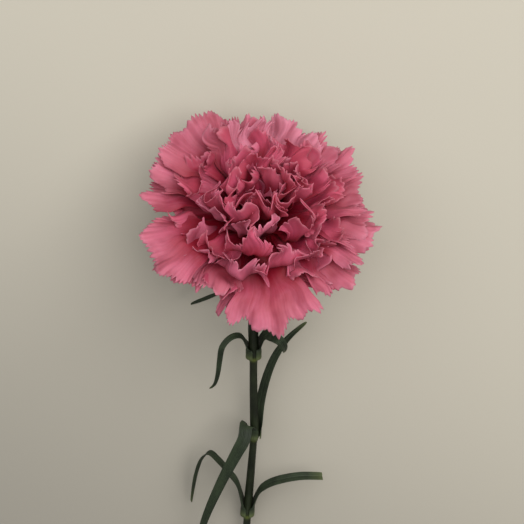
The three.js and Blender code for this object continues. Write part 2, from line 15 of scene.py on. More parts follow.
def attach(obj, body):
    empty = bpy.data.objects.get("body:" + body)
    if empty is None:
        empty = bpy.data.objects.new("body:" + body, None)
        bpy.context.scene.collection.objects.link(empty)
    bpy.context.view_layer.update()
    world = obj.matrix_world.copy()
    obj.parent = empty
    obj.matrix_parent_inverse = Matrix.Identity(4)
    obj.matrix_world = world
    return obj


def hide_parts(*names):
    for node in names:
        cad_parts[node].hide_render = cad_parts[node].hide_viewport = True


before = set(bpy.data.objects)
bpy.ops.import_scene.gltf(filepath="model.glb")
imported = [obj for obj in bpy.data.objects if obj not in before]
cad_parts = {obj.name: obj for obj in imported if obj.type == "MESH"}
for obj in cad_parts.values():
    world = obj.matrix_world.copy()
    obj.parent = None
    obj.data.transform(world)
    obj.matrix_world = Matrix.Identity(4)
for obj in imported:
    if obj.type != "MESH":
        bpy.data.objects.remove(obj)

log = logging.getLogger("carnation")

MM = 0.001
BODY = "root"
FOOTPRINT = np.array([-6.0, -84.3, 0.0])
MOUTH = np.array([0.0, 0.0, 34.0])
TILT = math.radians(30)
AXIS = np.array([0.0, math.cos(TILT), math.sin(TILT)])
RIGHT = np.array([1.0, 0.0, 0.0])
DOWN = np.array([0.0, math.sin(TILT), -math.cos(TILT)])
CALYX_LENGTH = 27.0
CALYX_RADIUS = 6.8
Grid = np.ndarray
Colour = tuple[float, float, float]


def draws(seed: int) -> Callable[[], float]:
    """Seeded draws between 0 and 1, the same on every run.

    Args:
        seed: Any whole number.

    Returns:
        A function that gives the next draw.
    """
    state = seed & 0xFFFFFFFF

    def following() -> float:
        """The next draw."""
        nonlocal state
        state = (state + 0x6D2B79F5) & 0xFFFFFFFF
        t = ((state ^ (state >> 15)) * (1 | state)) & 0xFFFFFFFF
        t = ((t + (((t ^ (t >> 7)) * (61 | t)) & 0xFFFFFFFF)) & 0xFFFFFFFF) ^ t
        t &= 0xFFFFFFFF
        return ((t ^ (t >> 14)) & 0xFFFFFFFF) / 4294967296

    return following


def linear(red: int, green: int, blue: int) -> Colour:
    """A colour given in display values from 0 to 255, as the linear values of a shader."""

    def one(value: float) -> float:
        """One channel."""
        value /= 255
        return value / 12.92 if value <= 0.04045 else ((value + 0.055) / 1.055) ** 2.4

    return one(red), one(green), one(blue)


# ------------------------------------------------------------------- meshes


def grid_normals(grid: Grid) -> Grid:
    """Unit normals of a grid of points.

    Args:
        grid: Points, rows by columns by three.

    Returns:
        One normal for each point.
    """
    down = np.gradient(grid, axis=0)
    over = np.gradient(grid, axis=1)
    normal = np.cross(over, down)
    length = np.linalg.norm(normal, axis=2, keepdims=True)
    return normal / np.maximum(length, 1e-9)


@dataclass
class Skin:
    """A closed surface in the making: points in millimetres, faces, and values at the points."""

    points: list[np.ndarray] = field(default_factory=list)
    faces: list[np.ndarray] = field(default_factory=list)
    chart: list[np.ndarray] = field(default_factory=list)
    mask: list[np.ndarray] = field(default_factory=list)
    count: int = 0

    def take(self, points: Grid, faces: np.ndarray, chart: Grid, mask: Grid) -> None:
        """Adds points and faces.

        Args:
            points: Points in millimetres.
            faces: Corners of four-sided faces, counted from the first of these points.
            chart: Place of each point on the surface it belongs to, for the finish.
            mask: A value from 0 to 1 at each point, for the finish.
        """
        self.points.append(points.reshape(-1, 3))
        self.faces.append(faces + self.count)
        self.chart.append(chart.reshape(-1, 3))
        self.mask.append(mask.reshape(-1))
        self.count += self.points[-1].shape[0]

    def blade(self, grid: Grid, thickness: Grid | float, chart: Grid, mask: Grid) -> None:
        """Adds a thin closed blade about a grid of points.

        Args:
            grid: Middle surface.
            thickness: Thickness in millimetres, one or at each point.
            chart: Place on the blade, for the finish.
            mask: Value for the finish.
        """
        rows, columns = grid.shape[:2]
        half = 0.5 * np.broadcast_to(np.asarray(thickness, float), (rows, columns))[..., None]
        normal = grid_normals(grid)
        front = grid + normal * half
        back = grid - normal * half
        both = np.concatenate([front.reshape(-1, 3), back.reshape(-1, 3)])
        both[:, 2] = np.maximum(both[:, 2], 0.02)
        index = np.arange(rows * columns).reshape(rows, columns)
        a, b = index[:-1, :-1].ravel(), index[:-1, 1:].ravel()
        c, d = index[1:, 1:].ravel(), index[1:, :-1].ravel()
        far = rows * columns
        faces = [np.stack([a, b, c, d], 1), np.stack([d, c, b, a], 1) + far]
        ring = np.concatenate(
            [index[0, :-1], index[:-1, -1], index[-1, :0:-1], index[:0:-1, 0]]
        )
        after = np.roll(ring, -1)
        faces.append(np.stack([after, ring, ring + far, after + far], 1))
        self.take(
            both,
            np.concatenate(faces),
            np.concatenate([chart.reshape(-1, 3)] * 2),
            np.concatenate([mask.reshape(-1)] * 2),
        )

    def tube(self, rings: Grid, chart: Grid, mask: Grid) -> None:
        """Adds rings of points joined into a closed tube, its ends drawn to a point.

        Args:
            rings: Points, rings by sides by three.
            chart: Place on the tube, for the finish.
            mask: Value for the finish.
        """
        count, sides = rings.shape[:2]
        index = np.arange(count * sides).reshape(count, sides)
        after = np.roll(index, -1, axis=1)
        side = np.stack([index[:-1], after[:-1], after[1:], index[1:]], -1).reshape(-1, 4)
        self.take(rings, side, chart, mask)
        first, last = self.count - count * sides, self.count - sides
        for start, ring, flip in ((first, rings[0], True), (last, rings[-1], False)):
            middle = self.count
            self.take(
                ring.mean(axis=0)[None],
                np.zeros((0, 4), int),
                chart[0 if flip else -1].mean(axis=0)[None],
                mask[0 if flip else -1][:1],
            )
            around = np.arange(sides) + start
            nxt = np.roll(around, -1)
            fan = np.full(sides, middle)
            corners = [nxt, around, fan] if flip else [around, nxt, fan]
            self.faces.append(np.stack([*corners, np.full(sides, -1)], 1))

    def piece(self, name: str, material: bpy.types.Material) -> bpy.types.Object:
        """The finished object, smooth, in metres and in the part's frame.

        Args:
            name: Name of the object.
            material: Its finish.

        Returns:
            The object, linked to the scene.
        """
        points = (np.concatenate(self.points) - FOOTPRINT) * MM
        faces = [[int(i) for i in face if i >= 0] for face in np.concatenate(self.faces)]
        mesh = bpy.data.meshes.new(name)
        mesh.from_pydata(points.tolist(), [], faces)
        mesh.update()
        for label, kind, key, values in (
            ("chart", "FLOAT_VECTOR", "vector", np.concatenate(self.chart)),
            ("mask", "FLOAT", "value", np.concatenate(self.mask)),
        ):
            layer = mesh.attributes.new(label, kind, "POINT")
            layer.data.foreach_set(key, values.astype(np.float32).ravel())
        mesh.polygons.foreach_set("use_smooth", [True] * len(mesh.polygons))
        mesh.materials.append(material)
        made = bpy.data.objects.new(name, mesh)
        bpy.context.scene.collection.objects.link(made)
        return made


def smooth_line(points: Sequence[Sequence[float]], steps: int) -> np.ndarray:
    """Points of a smooth curve through the given ones.

    Args:
        points: Points of any number of values each.
        steps: Points made for each stretch.

    Returns:
        The points of the curve.
    """
    given = np.asarray(points, float)
    last = len(given) - 1
    line = []
    for i in range(last):
        a, b = given[max(i - 1, 0)], given[i]
        c, d = given[i + 1], given[min(i + 2, last)]
        t = (np.arange(steps) / steps)[:, None]
        line.append(
            0.5 * (2 * b + (c - a) * t + (2 * a - 5 * b + 4 * c - d) * t**2
                   + (3 * b - a - 3 * c + d) * t**3)
        )
    return np.concatenate([*line, given[-1:]])


def even_line(line: np.ndarray, count: int) -> np.ndarray:
    """The same curve with its points spread evenly along it."""
    gaps = np.linalg.norm(np.diff(line[:, :3], axis=0), axis=1)
    length = np.concatenate([[0], np.cumsum(gaps)])
    places = np.linspace(0, length[-1], count)
    return np.stack([np.interp(places, length, line[:, k]) for k in range(line.shape[1])], 1)


def unit(vectors: np.ndarray) -> np.ndarray:
    """Vectors brought to length one."""
    return vectors / np.maximum(np.linalg.norm(vectors, axis=-1, keepdims=True), 1e-9)


def carry(line: np.ndarray, start: np.ndarray) -> tuple[np.ndarray, np.ndarray]:
    """Carries a direction along a line so that it turns as little as it can.

    Args:
        line: Points of the line.
        start: The direction at its first point.

    Returns:
        The line's own direction and the carried one, at each point.
    """
    along = unit(np.gradient(line, axis=0))
    ups = []
    now = start
    for direction in along:
        now = now - direction * np.dot(now, direction)
        now = now / np.linalg.norm(now)
        ups.append(now)
    return along, np.array(ups)


def around_axis(radius: np.ndarray, angle: np.ndarray, height: np.ndarray) -> np.ndarray:
    """Places given round the bloom's axis.

    Args:
        radius: Distance from the axis.
        angle: Angle round it, in radians.
        height: Height above the calyx mouth.

    Returns:
        Points in millimetres.
    """
    radius, angle, height = np.broadcast_arrays(radius, angle, height)
    across = (radius * np.cos(angle))[..., None] * RIGHT
    downward = (radius * np.sin(angle))[..., None] * DOWN
    return MOUTH + across + downward + height[..., None] * AXIS


# ----------------------------------------------------------------- finishes


class Shading:
    """A node tree being built: short calls that add nodes and join them."""

    def __init__(self, tree: bpy.types.NodeTree) -> None:
        """Starts on a tree.

        Args:
            tree: The tree to build in.
        """
        self.tree = tree

    def node(self, kind: str, **settings: object) -> bpy.types.Node:
        """Adds a node and sets its properties."""
        made = self.tree.nodes.new(kind)
        for key, value in settings.items():
            setattr(made, key, value)
        return made

    def join(self, source: bpy.types.NodeSocket, target: bpy.types.NodeSocket) -> None:
        """Joins an output to an input."""
        self.tree.links.new(source, target)

    def put(self, value: object, target: bpy.types.NodeSocket) -> None:
        """Joins an output to an input, or sets the input to a plain value."""
        if isinstance(value, bpy.types.NodeSocket):
            self.join(value, target)
        else:
            target.default_value = value

    def reckon(self, how: str, *values: object, clamp: bool = False) -> bpy.types.NodeSocket:
        """A Math node.

        Args:
            how: Its operation.
            values: Its inputs, sockets or numbers.
            clamp: Whether the result stays between 0 and 1.

        Returns:
            The result.
        """
        made = self.node("ShaderNodeMath", operation=how, use_clamp=clamp)
        for value, target in zip(values, made.inputs):
            self.put(value, target)
        return made.outputs[0]

    def spread(self, value: object, low: float, high: float) -> bpy.types.NodeSocket:
        """0 below low, 1 above high, smooth between."""
        made = self.node("ShaderNodeMapRange", interpolation_type="SMOOTHSTEP")
        for given, name in ((value, "Value"), (low, "From Min"), (high, "From Max")):
            self.put(given, made.inputs[name])
        return made.outputs["Result"]

    def blend(self, part: object, one: object, other: object) -> bpy.types.NodeSocket:
        """A mix of two colours.

        Args:
            part: How much of the second there is.
            one: First colour.
            other: Second colour.

        Returns:
            The mixed colour.
        """
        made = self.node("ShaderNodeMix", data_type="RGBA")
        self.put(part, made.inputs[0])
        for value, target in ((one, made.inputs[6]), (other, made.inputs[7])):
            self.put((*value, 1.0) if isinstance(value, tuple) else value, target)
        return made.outputs[2]

    def noise(self, where: object, scale: float, detail: float = 3.0) -> bpy.types.NodeSocket:
        """Soft noise over a place given as a vector."""
        made = self.node("ShaderNodeTexNoise")
        self.put(where, made.inputs["Vector"])
        made.inputs["Scale"].default_value = scale
        made.inputs["Detail"].default_value = detail
        return made.outputs["Fac"]

    def stretched(self, where: object, by: tuple[float, float, float]) -> bpy.types.NodeSocket:
        """A place scaled along its three directions."""
        made = self.node("ShaderNodeVectorMath", operation="MULTIPLY")
        self.put(where, made.inputs[0])
        made.inputs[1].default_value = by
        return made.outputs[0]

    def group(self, tree: bpy.types.NodeTree, **values: object) -> bpy.types.Node:
        """Places a shared effect.

        Args:
            tree: The effect's group.
            values: Its inputs by name, with _ for a space.

        Returns:
            The group's node.
        """
        made = self.node("ShaderNodeGroup", node_tree=tree)
        for name, value in values.items():
            self.put(value, made.inputs[name.replace("_", " ")])
        return made


def new_group(name: str, inputs: dict[str, float | str], outputs: dict[str, str]) -> tuple[
    Shading, bpy.types.Node, bpy.types.Node
]:
    """Starts a shared shader effect.

    Args:
        name: The group's name.
        inputs: Its inputs: a starting number, or a socket type.
        outputs: Its outputs and their socket types.

    Returns:
        The tree under work, its input node and its output node.
    """
    tree = bpy.data.node_groups.new(name, "ShaderNodeTree")
    for label, value in inputs.items():
        kind = value if isinstance(value, str) else "NodeSocketFloat"
        made = tree.interface.new_socket(label, in_out="INPUT", socket_type=kind)
        if not isinstance(value, str):
            made.default_value = value
    for label, kind in outputs.items():
        tree.interface.new_socket(label, in_out="OUTPUT", socket_type=kind)
    work = Shading(tree)
    return work, work.node("NodeGroupInput"), work.node("NodeGroupOutput")


def vein_group() -> bpy.types.NodeTree:
    """Fine lines that run along a blade, broken up by noise, as a mask."""
    work, given, gives = new_group(
        "lengthwise_veins",
        {"Place": "NodeSocketVector", "Count": 9.0, "Waver": 0.6, "Length": 0.12},
        {"Mask": "NodeSocketFloat"},
    )
    parts = work.node("ShaderNodeSeparateXYZ")
    work.join(given.outputs["Place"], parts.inputs[0])
    along = work.reckon("MULTIPLY", parts.outputs[1], given.outputs["Length"])
    place = work.node("ShaderNodeCombineXYZ")
    work.put(work.reckon("MULTIPLY", parts.outputs[0], given.outputs["Count"]), place.inputs[0])
    work.put(along, place.inputs[1])
    work.put(parts.outputs[2], place.inputs[2])
    drift = work.noise(place.outputs[0], 0.35, 2.0)
    shift = work.reckon("MULTIPLY", work.reckon("SUBTRACT", drift, 0.5), given.outputs["Waver"])
    turned = work.reckon("ADD", work.reckon("MULTIPLY", parts.outputs[0], given.outputs["Count"]), shift)
    wave = work.reckon("SINE", work.reckon("MULTIPLY", turned, 2 * math.pi))
    fine = work.noise(place.outputs[0], 1.6, 4.0)
    mask = work.reckon("ADD", work.reckon("MULTIPLY", wave, 0.25), fine)
    work.put(mask, gives.inputs["Mask"])
    return work.tree


def mottle_group() -> bpy.types.NodeTree:
    """Cloudy unevenness of living tissue, broad and fine, as a mask."""
    work, given, gives = new_group(
        "living_mottle",
        {"Place": "NodeSocketVector", "Broad": 0.12, "Fine": 1.5, "Share": 0.35},
        {"Mask": "NodeSocketFloat"},
    )
    masks = []
    for label, detail in (("Broad", 2.0), ("Fine", 5.0)):
        made = work.node("ShaderNodeTexNoise")
        work.join(given.outputs["Place"], made.inputs["Vector"])
        work.join(given.outputs[label], made.inputs["Scale"])
        made.inputs["Detail"].default_value = detail
        masks.append(made.outputs["Fac"])
    made = work.node("ShaderNodeMix", data_type="FLOAT")
    work.join(given.outputs["Share"], made.inputs[0])
    work.join(masks[0], made.inputs[2])
    work.join(masks[1], made.inputs[3])
    work.put(made.outputs[0], gives.inputs["Mask"])
    return work.tree


@dataclass(frozen=True)
class SharedEffects:
    """The shader groups that more than one finish uses."""

    veins: bpy.types.NodeTree
    mottle: bpy.types.NodeTree

    @classmethod
    def build(cls) -> "SharedEffects":
        """Makes each group once."""
        return cls(veins=vein_group(), mottle=mottle_group())


def start_finish(name: str, roughness: float) -> tuple[bpy.types.Material, Shading, bpy.types.Node]:
    """A new material with its tree under work.

    Args:
        name: The material's name.
        roughness: Its plain roughness.

    Returns:
        The material, its tree and its Principled shader.
    """
    material = bpy.data.materials.new(name)
    material.use_nodes = True
    shader = material.node_tree.nodes["Principled BSDF"]
    shader.inputs["Roughness"].default_value = roughness
    return material, Shading(material.node_tree), shader


def raise_surface(
    work: Shading, shader: bpy.types.Node, height: object, strength: float, depth: float
) -> None:
    """Feeds a height to the shader's normal.

    Args:
        work: Tree under work.
        shader: The shader that takes the normal.
        height: Height over the surface.
        strength: Strength of the bump.
        depth: Height of a full step, in metres.
    """
    bump = work.node("ShaderNodeBump")
    bump.inputs["Strength"].default_value = strength
    bump.inputs["Distance"].default_value = depth
    work.put(height, bump.inputs["Height"])
    work.join(bump.outputs["Normal"], shader.inputs["Normal"])


@dataclass(frozen=True)
class PetalFinish:
    """Thin, matt petal tissue: deep at the claw, partly painted shade; paler at the toothed margin, partly
    painted highlight.
    """

    name: str
    # deep: the claw's own colour, also used for painted shade
    deep: Colour
    body: Colour
    cool: Colour
    # outer and margin: paler tones, partly the petal's own and partly painted highlight
    outer: Colour
    margin: Colour
    through: Colour
    glow: float = 0.42
    paling: float = 0.45

    def build(self, effects: SharedEffects) -> bpy.types.Material:
        """Makes the material.

        Args:
            effects: The shared shader groups.

        Returns:
            The material.
        """
        material, work, shader = start_finish(self.name, 0.5)
        chart = work.node("ShaderNodeAttribute", attribute_name="chart").outputs["Vector"]
        mask = work.node("ShaderNodeAttribute", attribute_name="mask").outputs["Fac"]
        veins = work.group(effects.veins, Place=chart, Count=0.8, Waver=0.9, Length=0.05)
        cloud = work.group(effects.mottle, Place=chart, Broad=0.09, Fine=0.8, Share=0.2)
        streak = work.spread(veins.outputs[0], 0.25, 0.85)
        tone = work.blend(work.spread(cloud.outputs[0], 0.38, 0.64), self.body, self.cool)
        # paler tint on some petals: partly their own tone, partly painted highlight
        own = work.noise(work.stretched(chart, (0.0, 0.0, 0.37)), 1.0, 0.0)
        tone = work.blend(work.reckon("MULTIPLY", work.spread(own, 0.5, 0.7), 0.7), tone, self.outer)
        # deep colour at the claw: partly the petal's own deeper base, partly painted shade of the crevices
        lower = work.spread(mask, 0.1, 0.85)
        colour = work.blend(lower, self.deep, tone)
        # paler towards the margin: partly the limb's own tone, partly painted highlight
        pale = work.reckon("MULTIPLY", work.spread(mask, 0.4, 1.0), self.paling)
        colour = work.blend(pale, colour, self.outer)
        # painted shade in soft random patches
        patch = work.noise(work.stretched(chart, (1.0, 0.55, 1.0)), 0.16, 2.0)
        shade_mottle = work.reckon("MULTIPLY", work.spread(patch, 0.4, 0.7), 0.45)
        colour = work.blend(shade_mottle, colour, self.deep)
        # painted shade along the middle crease, fading towards the margin
        across = work.node("ShaderNodeSeparateXYZ")
        work.join(chart, across.inputs[0])
        aside = work.reckon("ABSOLUTE", across.outputs[0])
        crease_shade = work.reckon("SUBTRACT", 1.0, work.spread(aside, 0.0, 1.1))
        fading = work.reckon("SUBTRACT", 0.5, work.reckon("MULTIPLY", work.spread(mask, 0.4, 0.95), 0.45))
        colour = work.blend(work.reckon("MULTIPLY", crease_shade, fading), colour, self.deep)
        colour = work.blend(work.reckon("MULTIPLY", streak, 0.06), colour, self.deep)
        # pale rim on the toothed margin: partly its own paler edge, partly painted highlight
        edge = work.reckon("MULTIPLY", work.spread(mask, 0.93, 1.0), 0.12)
        colour = work.blend(edge, colour, self.margin)
        work.join(colour, shader.inputs["Base Color"])
        shader.inputs["Specular IOR Level"].default_value = 0.24
        shader.inputs["Sheen Weight"].default_value = 0.04
        shader.inputs["Sheen Roughness"].default_value = 0.4
        raise_surface(work, shader, veins.outputs[0], 0.02, 0.0003)
        through = work.node("ShaderNodeBsdfTranslucent")
        work.join(work.blend(0.5, colour, self.through), through.inputs["Color"])
        both = work.node("ShaderNodeMixShader")
        both.inputs[0].default_value = self.glow
        work.join(shader.outputs[0], both.inputs[1])
        work.join(through.outputs[0], both.inputs[2])
        out = work.tree.nodes["Material Output"]
        work.join(both.outputs[0], out.inputs["Surface"])
        return material


@dataclass(frozen=True)
class WaxyGreen:
    """Waxy green skin of a stem, a calyx or a leaf, veined along its length."""

    name: str
    dark: Colour
    light: Colour
    accent: Colour
    veins: float = 0.35
    count: float = 1.6
    roughness: float = 0.5
    relief: float = 0.5

    def build(self, effects: SharedEffects) -> bpy.types.Material:
        """Makes the material.

        Args:
            effects: The shared shader groups.

        Returns:
            The material.
        """
        material, work, shader = start_finish(self.name, self.roughness)
        chart = work.node("ShaderNodeAttribute", attribute_name="chart").outputs["Vector"]
        mask = work.node("ShaderNodeAttribute", attribute_name="mask").outputs["Fac"]
        veins = work.group(effects.veins, Place=chart, Count=self.count, Waver=0.3, Length=0.06)
        cloud = work.group(effects.mottle, Place=chart, Broad=0.16, Fine=2.4, Share=0.4)
        colour = work.blend(work.spread(cloud.outputs[0], 0.34, 0.66), self.dark, self.light)
        streak = work.reckon("MULTIPLY", work.spread(veins.outputs[0], 0.3, 0.9), self.veins)
        colour = work.blend(streak, colour, self.light)
        colour = work.blend(mask, colour, self.accent)
        work.join(colour, shader.inputs["Base Color"])
        bloomy = work.reckon("MULTIPLY_ADD", cloud.outputs[0], 0.3, self.roughness - 0.15)
        work.join(bloomy, shader.inputs["Roughness"])
        shader.inputs["Specular IOR Level"].default_value = 0.22
        raise_surface(work, shader, veins.outputs[0], self.relief, 0.0003)
        return material


@dataclass(frozen=True)
class TableFinish:
    """Plain pale matt surface, faintly uneven, with painted shade darkening it towards one corner."""

    name: str = "plain_table"
    pale: Colour = linear(188, 182, 169)
    shade: Colour = linear(180, 176, 164)
    # painted shade: the colour the table darkens to towards one corner
    painted_corner_shade: Colour = linear(149, 145, 136)

    def build(self) -> bpy.types.Material:
        """Makes the material."""
        material, work, shader = start_finish(self.name, 0.85)
        where = work.node("ShaderNodeTexCoord").outputs["Object"]
        cloud = work.noise(where, 1.4, 2.0)
        grain = work.noise(where, 900.0, 2.0)
        parts = work.node("ShaderNodeSeparateXYZ")
        work.join(where, parts.inputs[0])
        # painted shade: darker towards one corner
        slant = work.reckon("MULTIPLY_ADD", parts.outputs[0], 0.62, parts.outputs[1])
        painted_corner_shade = work.reckon("SUBTRACT", 1.0, work.spread(slant, -0.15, 0.12))
        plain = work.blend(cloud, self.shade, self.pale)
        work.join(work.blend(painted_corner_shade, plain, self.painted_corner_shade), shader.inputs["Base Color"])
        shader.inputs["Specular IOR Level"].default_value = 0.1
        raise_surface(work, shader, grain, 0.1, 0.0002)
        return material


class Finish(Enum):
    """The finishes of the flower, by the part that wears them."""

    # deep colours also serve as painted shade; outer and margin colours are partly painted highlight
    GUARD_PETAL = PetalFinish(
        "petal_rose_pink", deep=linear(134, 10, 34), body=linear(184, 50, 70),
        cool=linear(202, 80, 112), outer=linear(238, 162, 188), margin=linear(248, 216, 236),
        through=linear(218, 32, 62), paling=0.5,
    )
    INNER_PETAL = PetalFinish(
        "petal_raspberry", deep=linear(130, 6, 30), body=linear(188, 38, 62),
        cool=linear(206, 66, 104), outer=linear(240, 148, 180), margin=linear(252, 226, 238),
        through=linear(226, 26, 56), paling=0.38,
    )
    CLAW = PetalFinish(
        "petal_claw", deep=linear(96, 18, 34), body=linear(120, 30, 48),
        cool=linear(110, 26, 44), outer=linear(110, 26, 44), margin=linear(110, 26, 44),
        through=linear(110, 26, 44),
    )
    CALYX = WaxyGreen(
        "calyx_green", dark=linear(62, 76, 48), light=linear(96, 112, 70),
        accent=linear(150, 140, 104), count=2.2,
    )
    STEM = WaxyGreen(
        "stem_green", dark=linear(16, 19, 12), light=linear(36, 43, 27),
        accent=linear(104, 116, 52), count=1.8, roughness=0.48, relief=0.3,
    )
    LEAF = WaxyGreen(
        "leaf_green", dark=linear(26, 33, 24), light=linear(50, 61, 43),
        accent=linear(112, 122, 76), count=1.5, roughness=0.55, relief=0.6,
    )


def dress(piece: bpy.types.Object, slot: str, *nodes: str) -> bpy.types.Object:
    """Makes a piece ride on the part and stand for its solids.

    Args:
        piece: The piece.
        slot: Not used.
        nodes: Solids that the piece stands for.

    Returns:
        The piece.
    """
    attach(piece, BODY)
    if nodes:
        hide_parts(*nodes)
    return piece


# -------------------------------------------------------------------- bloom


def crumple(points: Grid, far: Grid, strength: float) -> Grid:
    """Pushes the crowded middle of the bloom about, neighbours alike.

    Args:
        points: Points of a petal.
        far: How far each lies towards the petal's margin, from 0 to 1.
        strength: Greatest shift in millimetres.

    Returns:
        The shifted points.
    """
    local = points - MOUTH
    a, b, h = local @ RIGHT, local @ DOWN, local @ AXIS
    weight = strength * far * np.clip((36 - np.hypot(a, b)) / 14, 0, 1)
    aside = np.sin(0.45 * b + 0.30 * h + 0.9) + 0.6 * np.sin(0.80 * h - 0.5 * a + 2.0)
    downward = np.sin(0.47 * a - 0.35 * h + 2.4) + 0.6 * np.sin(0.75 * a + 0.4 * b + 0.3)
    raised = np.sin(0.40 * a + 0.42 * b + 4.0) + 0.6 * np.sin(0.72 * b - 0.6 * a + 1.1)
    shift = aside[..., None] * RIGHT + downward[..., None] * DOWN + raised[..., None] * AXIS
    return points + weight[..., None] * shift


class Layer(Enum):
    """Layers of the bloom: waves across a petal, their onset, its curl and columns of its mesh."""

    RING = ("ring", 2.2, 2.6, 0.0, 181)
    REST = ("rest", 1.4, 2.4, 0.0, 121)
    INNER = ("inner", 1.7, 1.4, 1.1, 129)
    HEART = ("heart", 1.8, 1.3, 0.9, 105)

    def __init__(self, label: str, waves: float, onset: float, curl: float, columns: int) -> None:
        """Keeps the layer's numbers.

        Args:
            label: Name used for the layer's piece.
            waves: Waves across a petal.
            onset: High where the waves keep to the margin.
            curl: How far the margin turns away from the heart, in millimetres.
            columns: Columns of points across a petal.
        """
        self.label = label
        self.waves = waves
        self.onset = onset
        self.curl = curl
        self.columns = columns


@dataclass
class Petal:
    """One petal: a narrow claw that widens to a waved limb with a toothed margin.

    Angles are in degrees.  turn goes round the axis from the right, 90 towards
    the table; reach and rise are where the middle of the margin lies.
    """

    layer: Layer
    turn: float
    reach: float
    rise: float
    tip: float
    limb: float
    fan: float
    cup: float
    roll: float
    ruffle: float
    belly: float = 0.0
    fold: float = 0.0
    lobing: float = 1.0
    phases: tuple[float, float, float] = (0.0, 0.0, 0.0)
    root: float = 0.0

    def __post_init__(self) -> None:
        """Roots the petal nearer the axis the less far it reaches."""
        if not self.root:
            self.root = min(max(0.6 + 0.12 * self.reach, 1.0), 5.2)

    def midline(self) -> tuple[np.ndarray, np.ndarray, np.ndarray, np.ndarray]:
        """Middle line from the root to the tip and 8 mm beyond.

        Returns:
            Length, distance from the axis, height over the mouth and slope.
        """
        start, end = math.radians(80), math.radians(self.tip)
        span = math.hypot(self.reach - self.root, self.rise)
        pull, back = 0.36 * span, (0.36 + self.belly) * span
        p = np.array([
            [self.root, 0],
            [self.root + pull * math.cos(start), pull * math.sin(start)],
            [self.reach - back * math.cos(end), self.rise - back * math.sin(end)],
            [self.reach, self.rise],
        ])
        u = np.linspace(0, 1, 41)[:, None]
        line = (1 - u)**3 * p[0] + 3 * (1 - u)**2 * u * p[1] + 3 * (1 - u) * u**2 * p[2] + u**3 * p[3]
        slope = 3 * (1 - u)**2 * (p[1] - p[0]) + 6 * (1 - u) * u * (p[2] - p[1]) + 3 * u**2 * (p[3] - p[2])
        lift = np.unwrap(np.arctan2(slope[:, 1], slope[:, 0]))
        length = np.concatenate([[0], np.cumsum(np.linalg.norm(np.diff(line, axis=0), axis=1))])
        beyond = line[-1] + 8 * np.array([math.cos(lift[-1]), math.sin(lift[-1])])
        return (
            np.append(length, length[-1] + 8),
            np.append(line[:, 0], beyond[0]),
            np.append(line[:, 1], beyond[1]),
            np.append(lift, lift[-1]),
        )

    def margin(self, t: Grid, limb: float) -> Grid:
        """Outline of the limb as a share of its length: broad lobes cut into fine teeth.

        Args:
            t: Place across the petal, from -1 to 1.
            limb: Length of the limb.

        Returns:
            The outline's distance at each place.
        """
        a, b, c = self.phases
        lobes = 0.06 * np.sin(2.1 * np.pi * t + a) + 0.045 * np.sin(4.7 * np.pi * t + b)
        lobes = 1 + self.lobing * lobes
        lobes = lobes * (1 - 0.16 * np.abs(t)**3)
        teeth = max(8, round(2 * limb * math.radians(self.fan) / 1.45))
        phase = t * teeth / 2 + 0.45 * np.sin(6 * t + c) + 0.2 * np.sin(17 * t + a)
        saw = np.clip(np.abs(phase % 1 - 0.4) / 0.6, 0, 1)
        depth = (1 + 0.65 * np.sin(8 * t + b)) * 1.35 / limb
        return lobes - depth * saw

    def surface(self) -> tuple[Grid, Grid, Grid]:
        """Middle surface of the petal.

        Returns:
            Points, their place on the petal for the finish, and a value that
            grows from 0 at the claw to 1 at the margin.
        """
        q = np.concatenate([np.linspace(-1, 0, 4)[:-1], np.linspace(0, 1, 21)**0.85])
        t = np.linspace(-1, 1, self.layer.columns)
        q, t = np.meshgrid(q, t, indexing="ij")
        length, out, up, lift = self.midline()
        total = length[-2]
        limb = min(self.limb, 0.92 * total)
        claw = total - limb
        a, b, c = self.phases
        far = np.clip(q, 0, None)
        radius = limb * (far + (self.margin(t, limb) - 1) * far**3)
        angle = t * math.radians(self.fan)
        w = math.pi * self.layer.waves
        wave = self.ruffle * far**self.layer.onset
        along = claw * (1 + np.clip(q, -1, 0)) + radius * np.cos(0.85 * angle)
        along = along + 0.22 * wave * np.cos(1.3 * w * t + c)
        across = t * 1.6 * (1 - far) + radius * np.sin(angle)
        raised = wave * (np.sin(w * t + a) + 0.22 * far * np.sin(2.6 * w * t + b))
        raised = raised + 0.2 * far**5 * np.sin(6.3 * w * t + c)
        raised = raised - self.layer.curl * far**5 * (1 + 0.5 * np.sin(1.7 * w * t + b))
        crease = 0.35 * np.exp(-(across / 0.9)**2) * (1 - far**2)
        crease = crease + self.fold * np.exp(-(across / 2.6)**2)
        raised = raised - crease * np.clip(3 * far, 0, 1)
        bend = self.cup * np.maximum(far, 1e-3)**0.6
        bend = np.where(np.abs(bend) < 1e-6, 1e-6, bend)
        aside = np.sin(bend * across) / bend
        raised = raised + (1 - np.cos(bend * across)) / bend
        turn = math.radians(self.turn)
        outward = math.cos(turn) * RIGHT + math.sin(turn) * DOWN
        sideways = -math.sin(turn) * RIGHT + math.cos(turn) * DOWN
        lean = np.interp(along, length, lift)[..., None]
        face = -np.sin(lean) * outward + np.cos(lean) * AXIS
        roll = math.radians(self.roll) * np.clip(along / total, 0, 1.2)[..., None]**1.5
        flank = np.cos(roll) * sideways + np.sin(roll) * face
        normal = np.cos(roll) * face - np.sin(roll) * sideways
        points = (
            MOUTH
            + np.interp(along, length, out)[..., None] * outward
            + np.interp(along, length, up)[..., None] * AXIS
            + aside[..., None] * flank
            + raised[..., None] * normal
        )
        points = crumple(points, far, 1.3)
        chart = np.stack([angle * limb, radius + claw, np.full_like(t, 7 * a + 40 * b)], -1)
        grown = np.clip(far - 0.04 * (self.margin(t, limb) < 0.9), 0, 1)
        return points, chart, grown


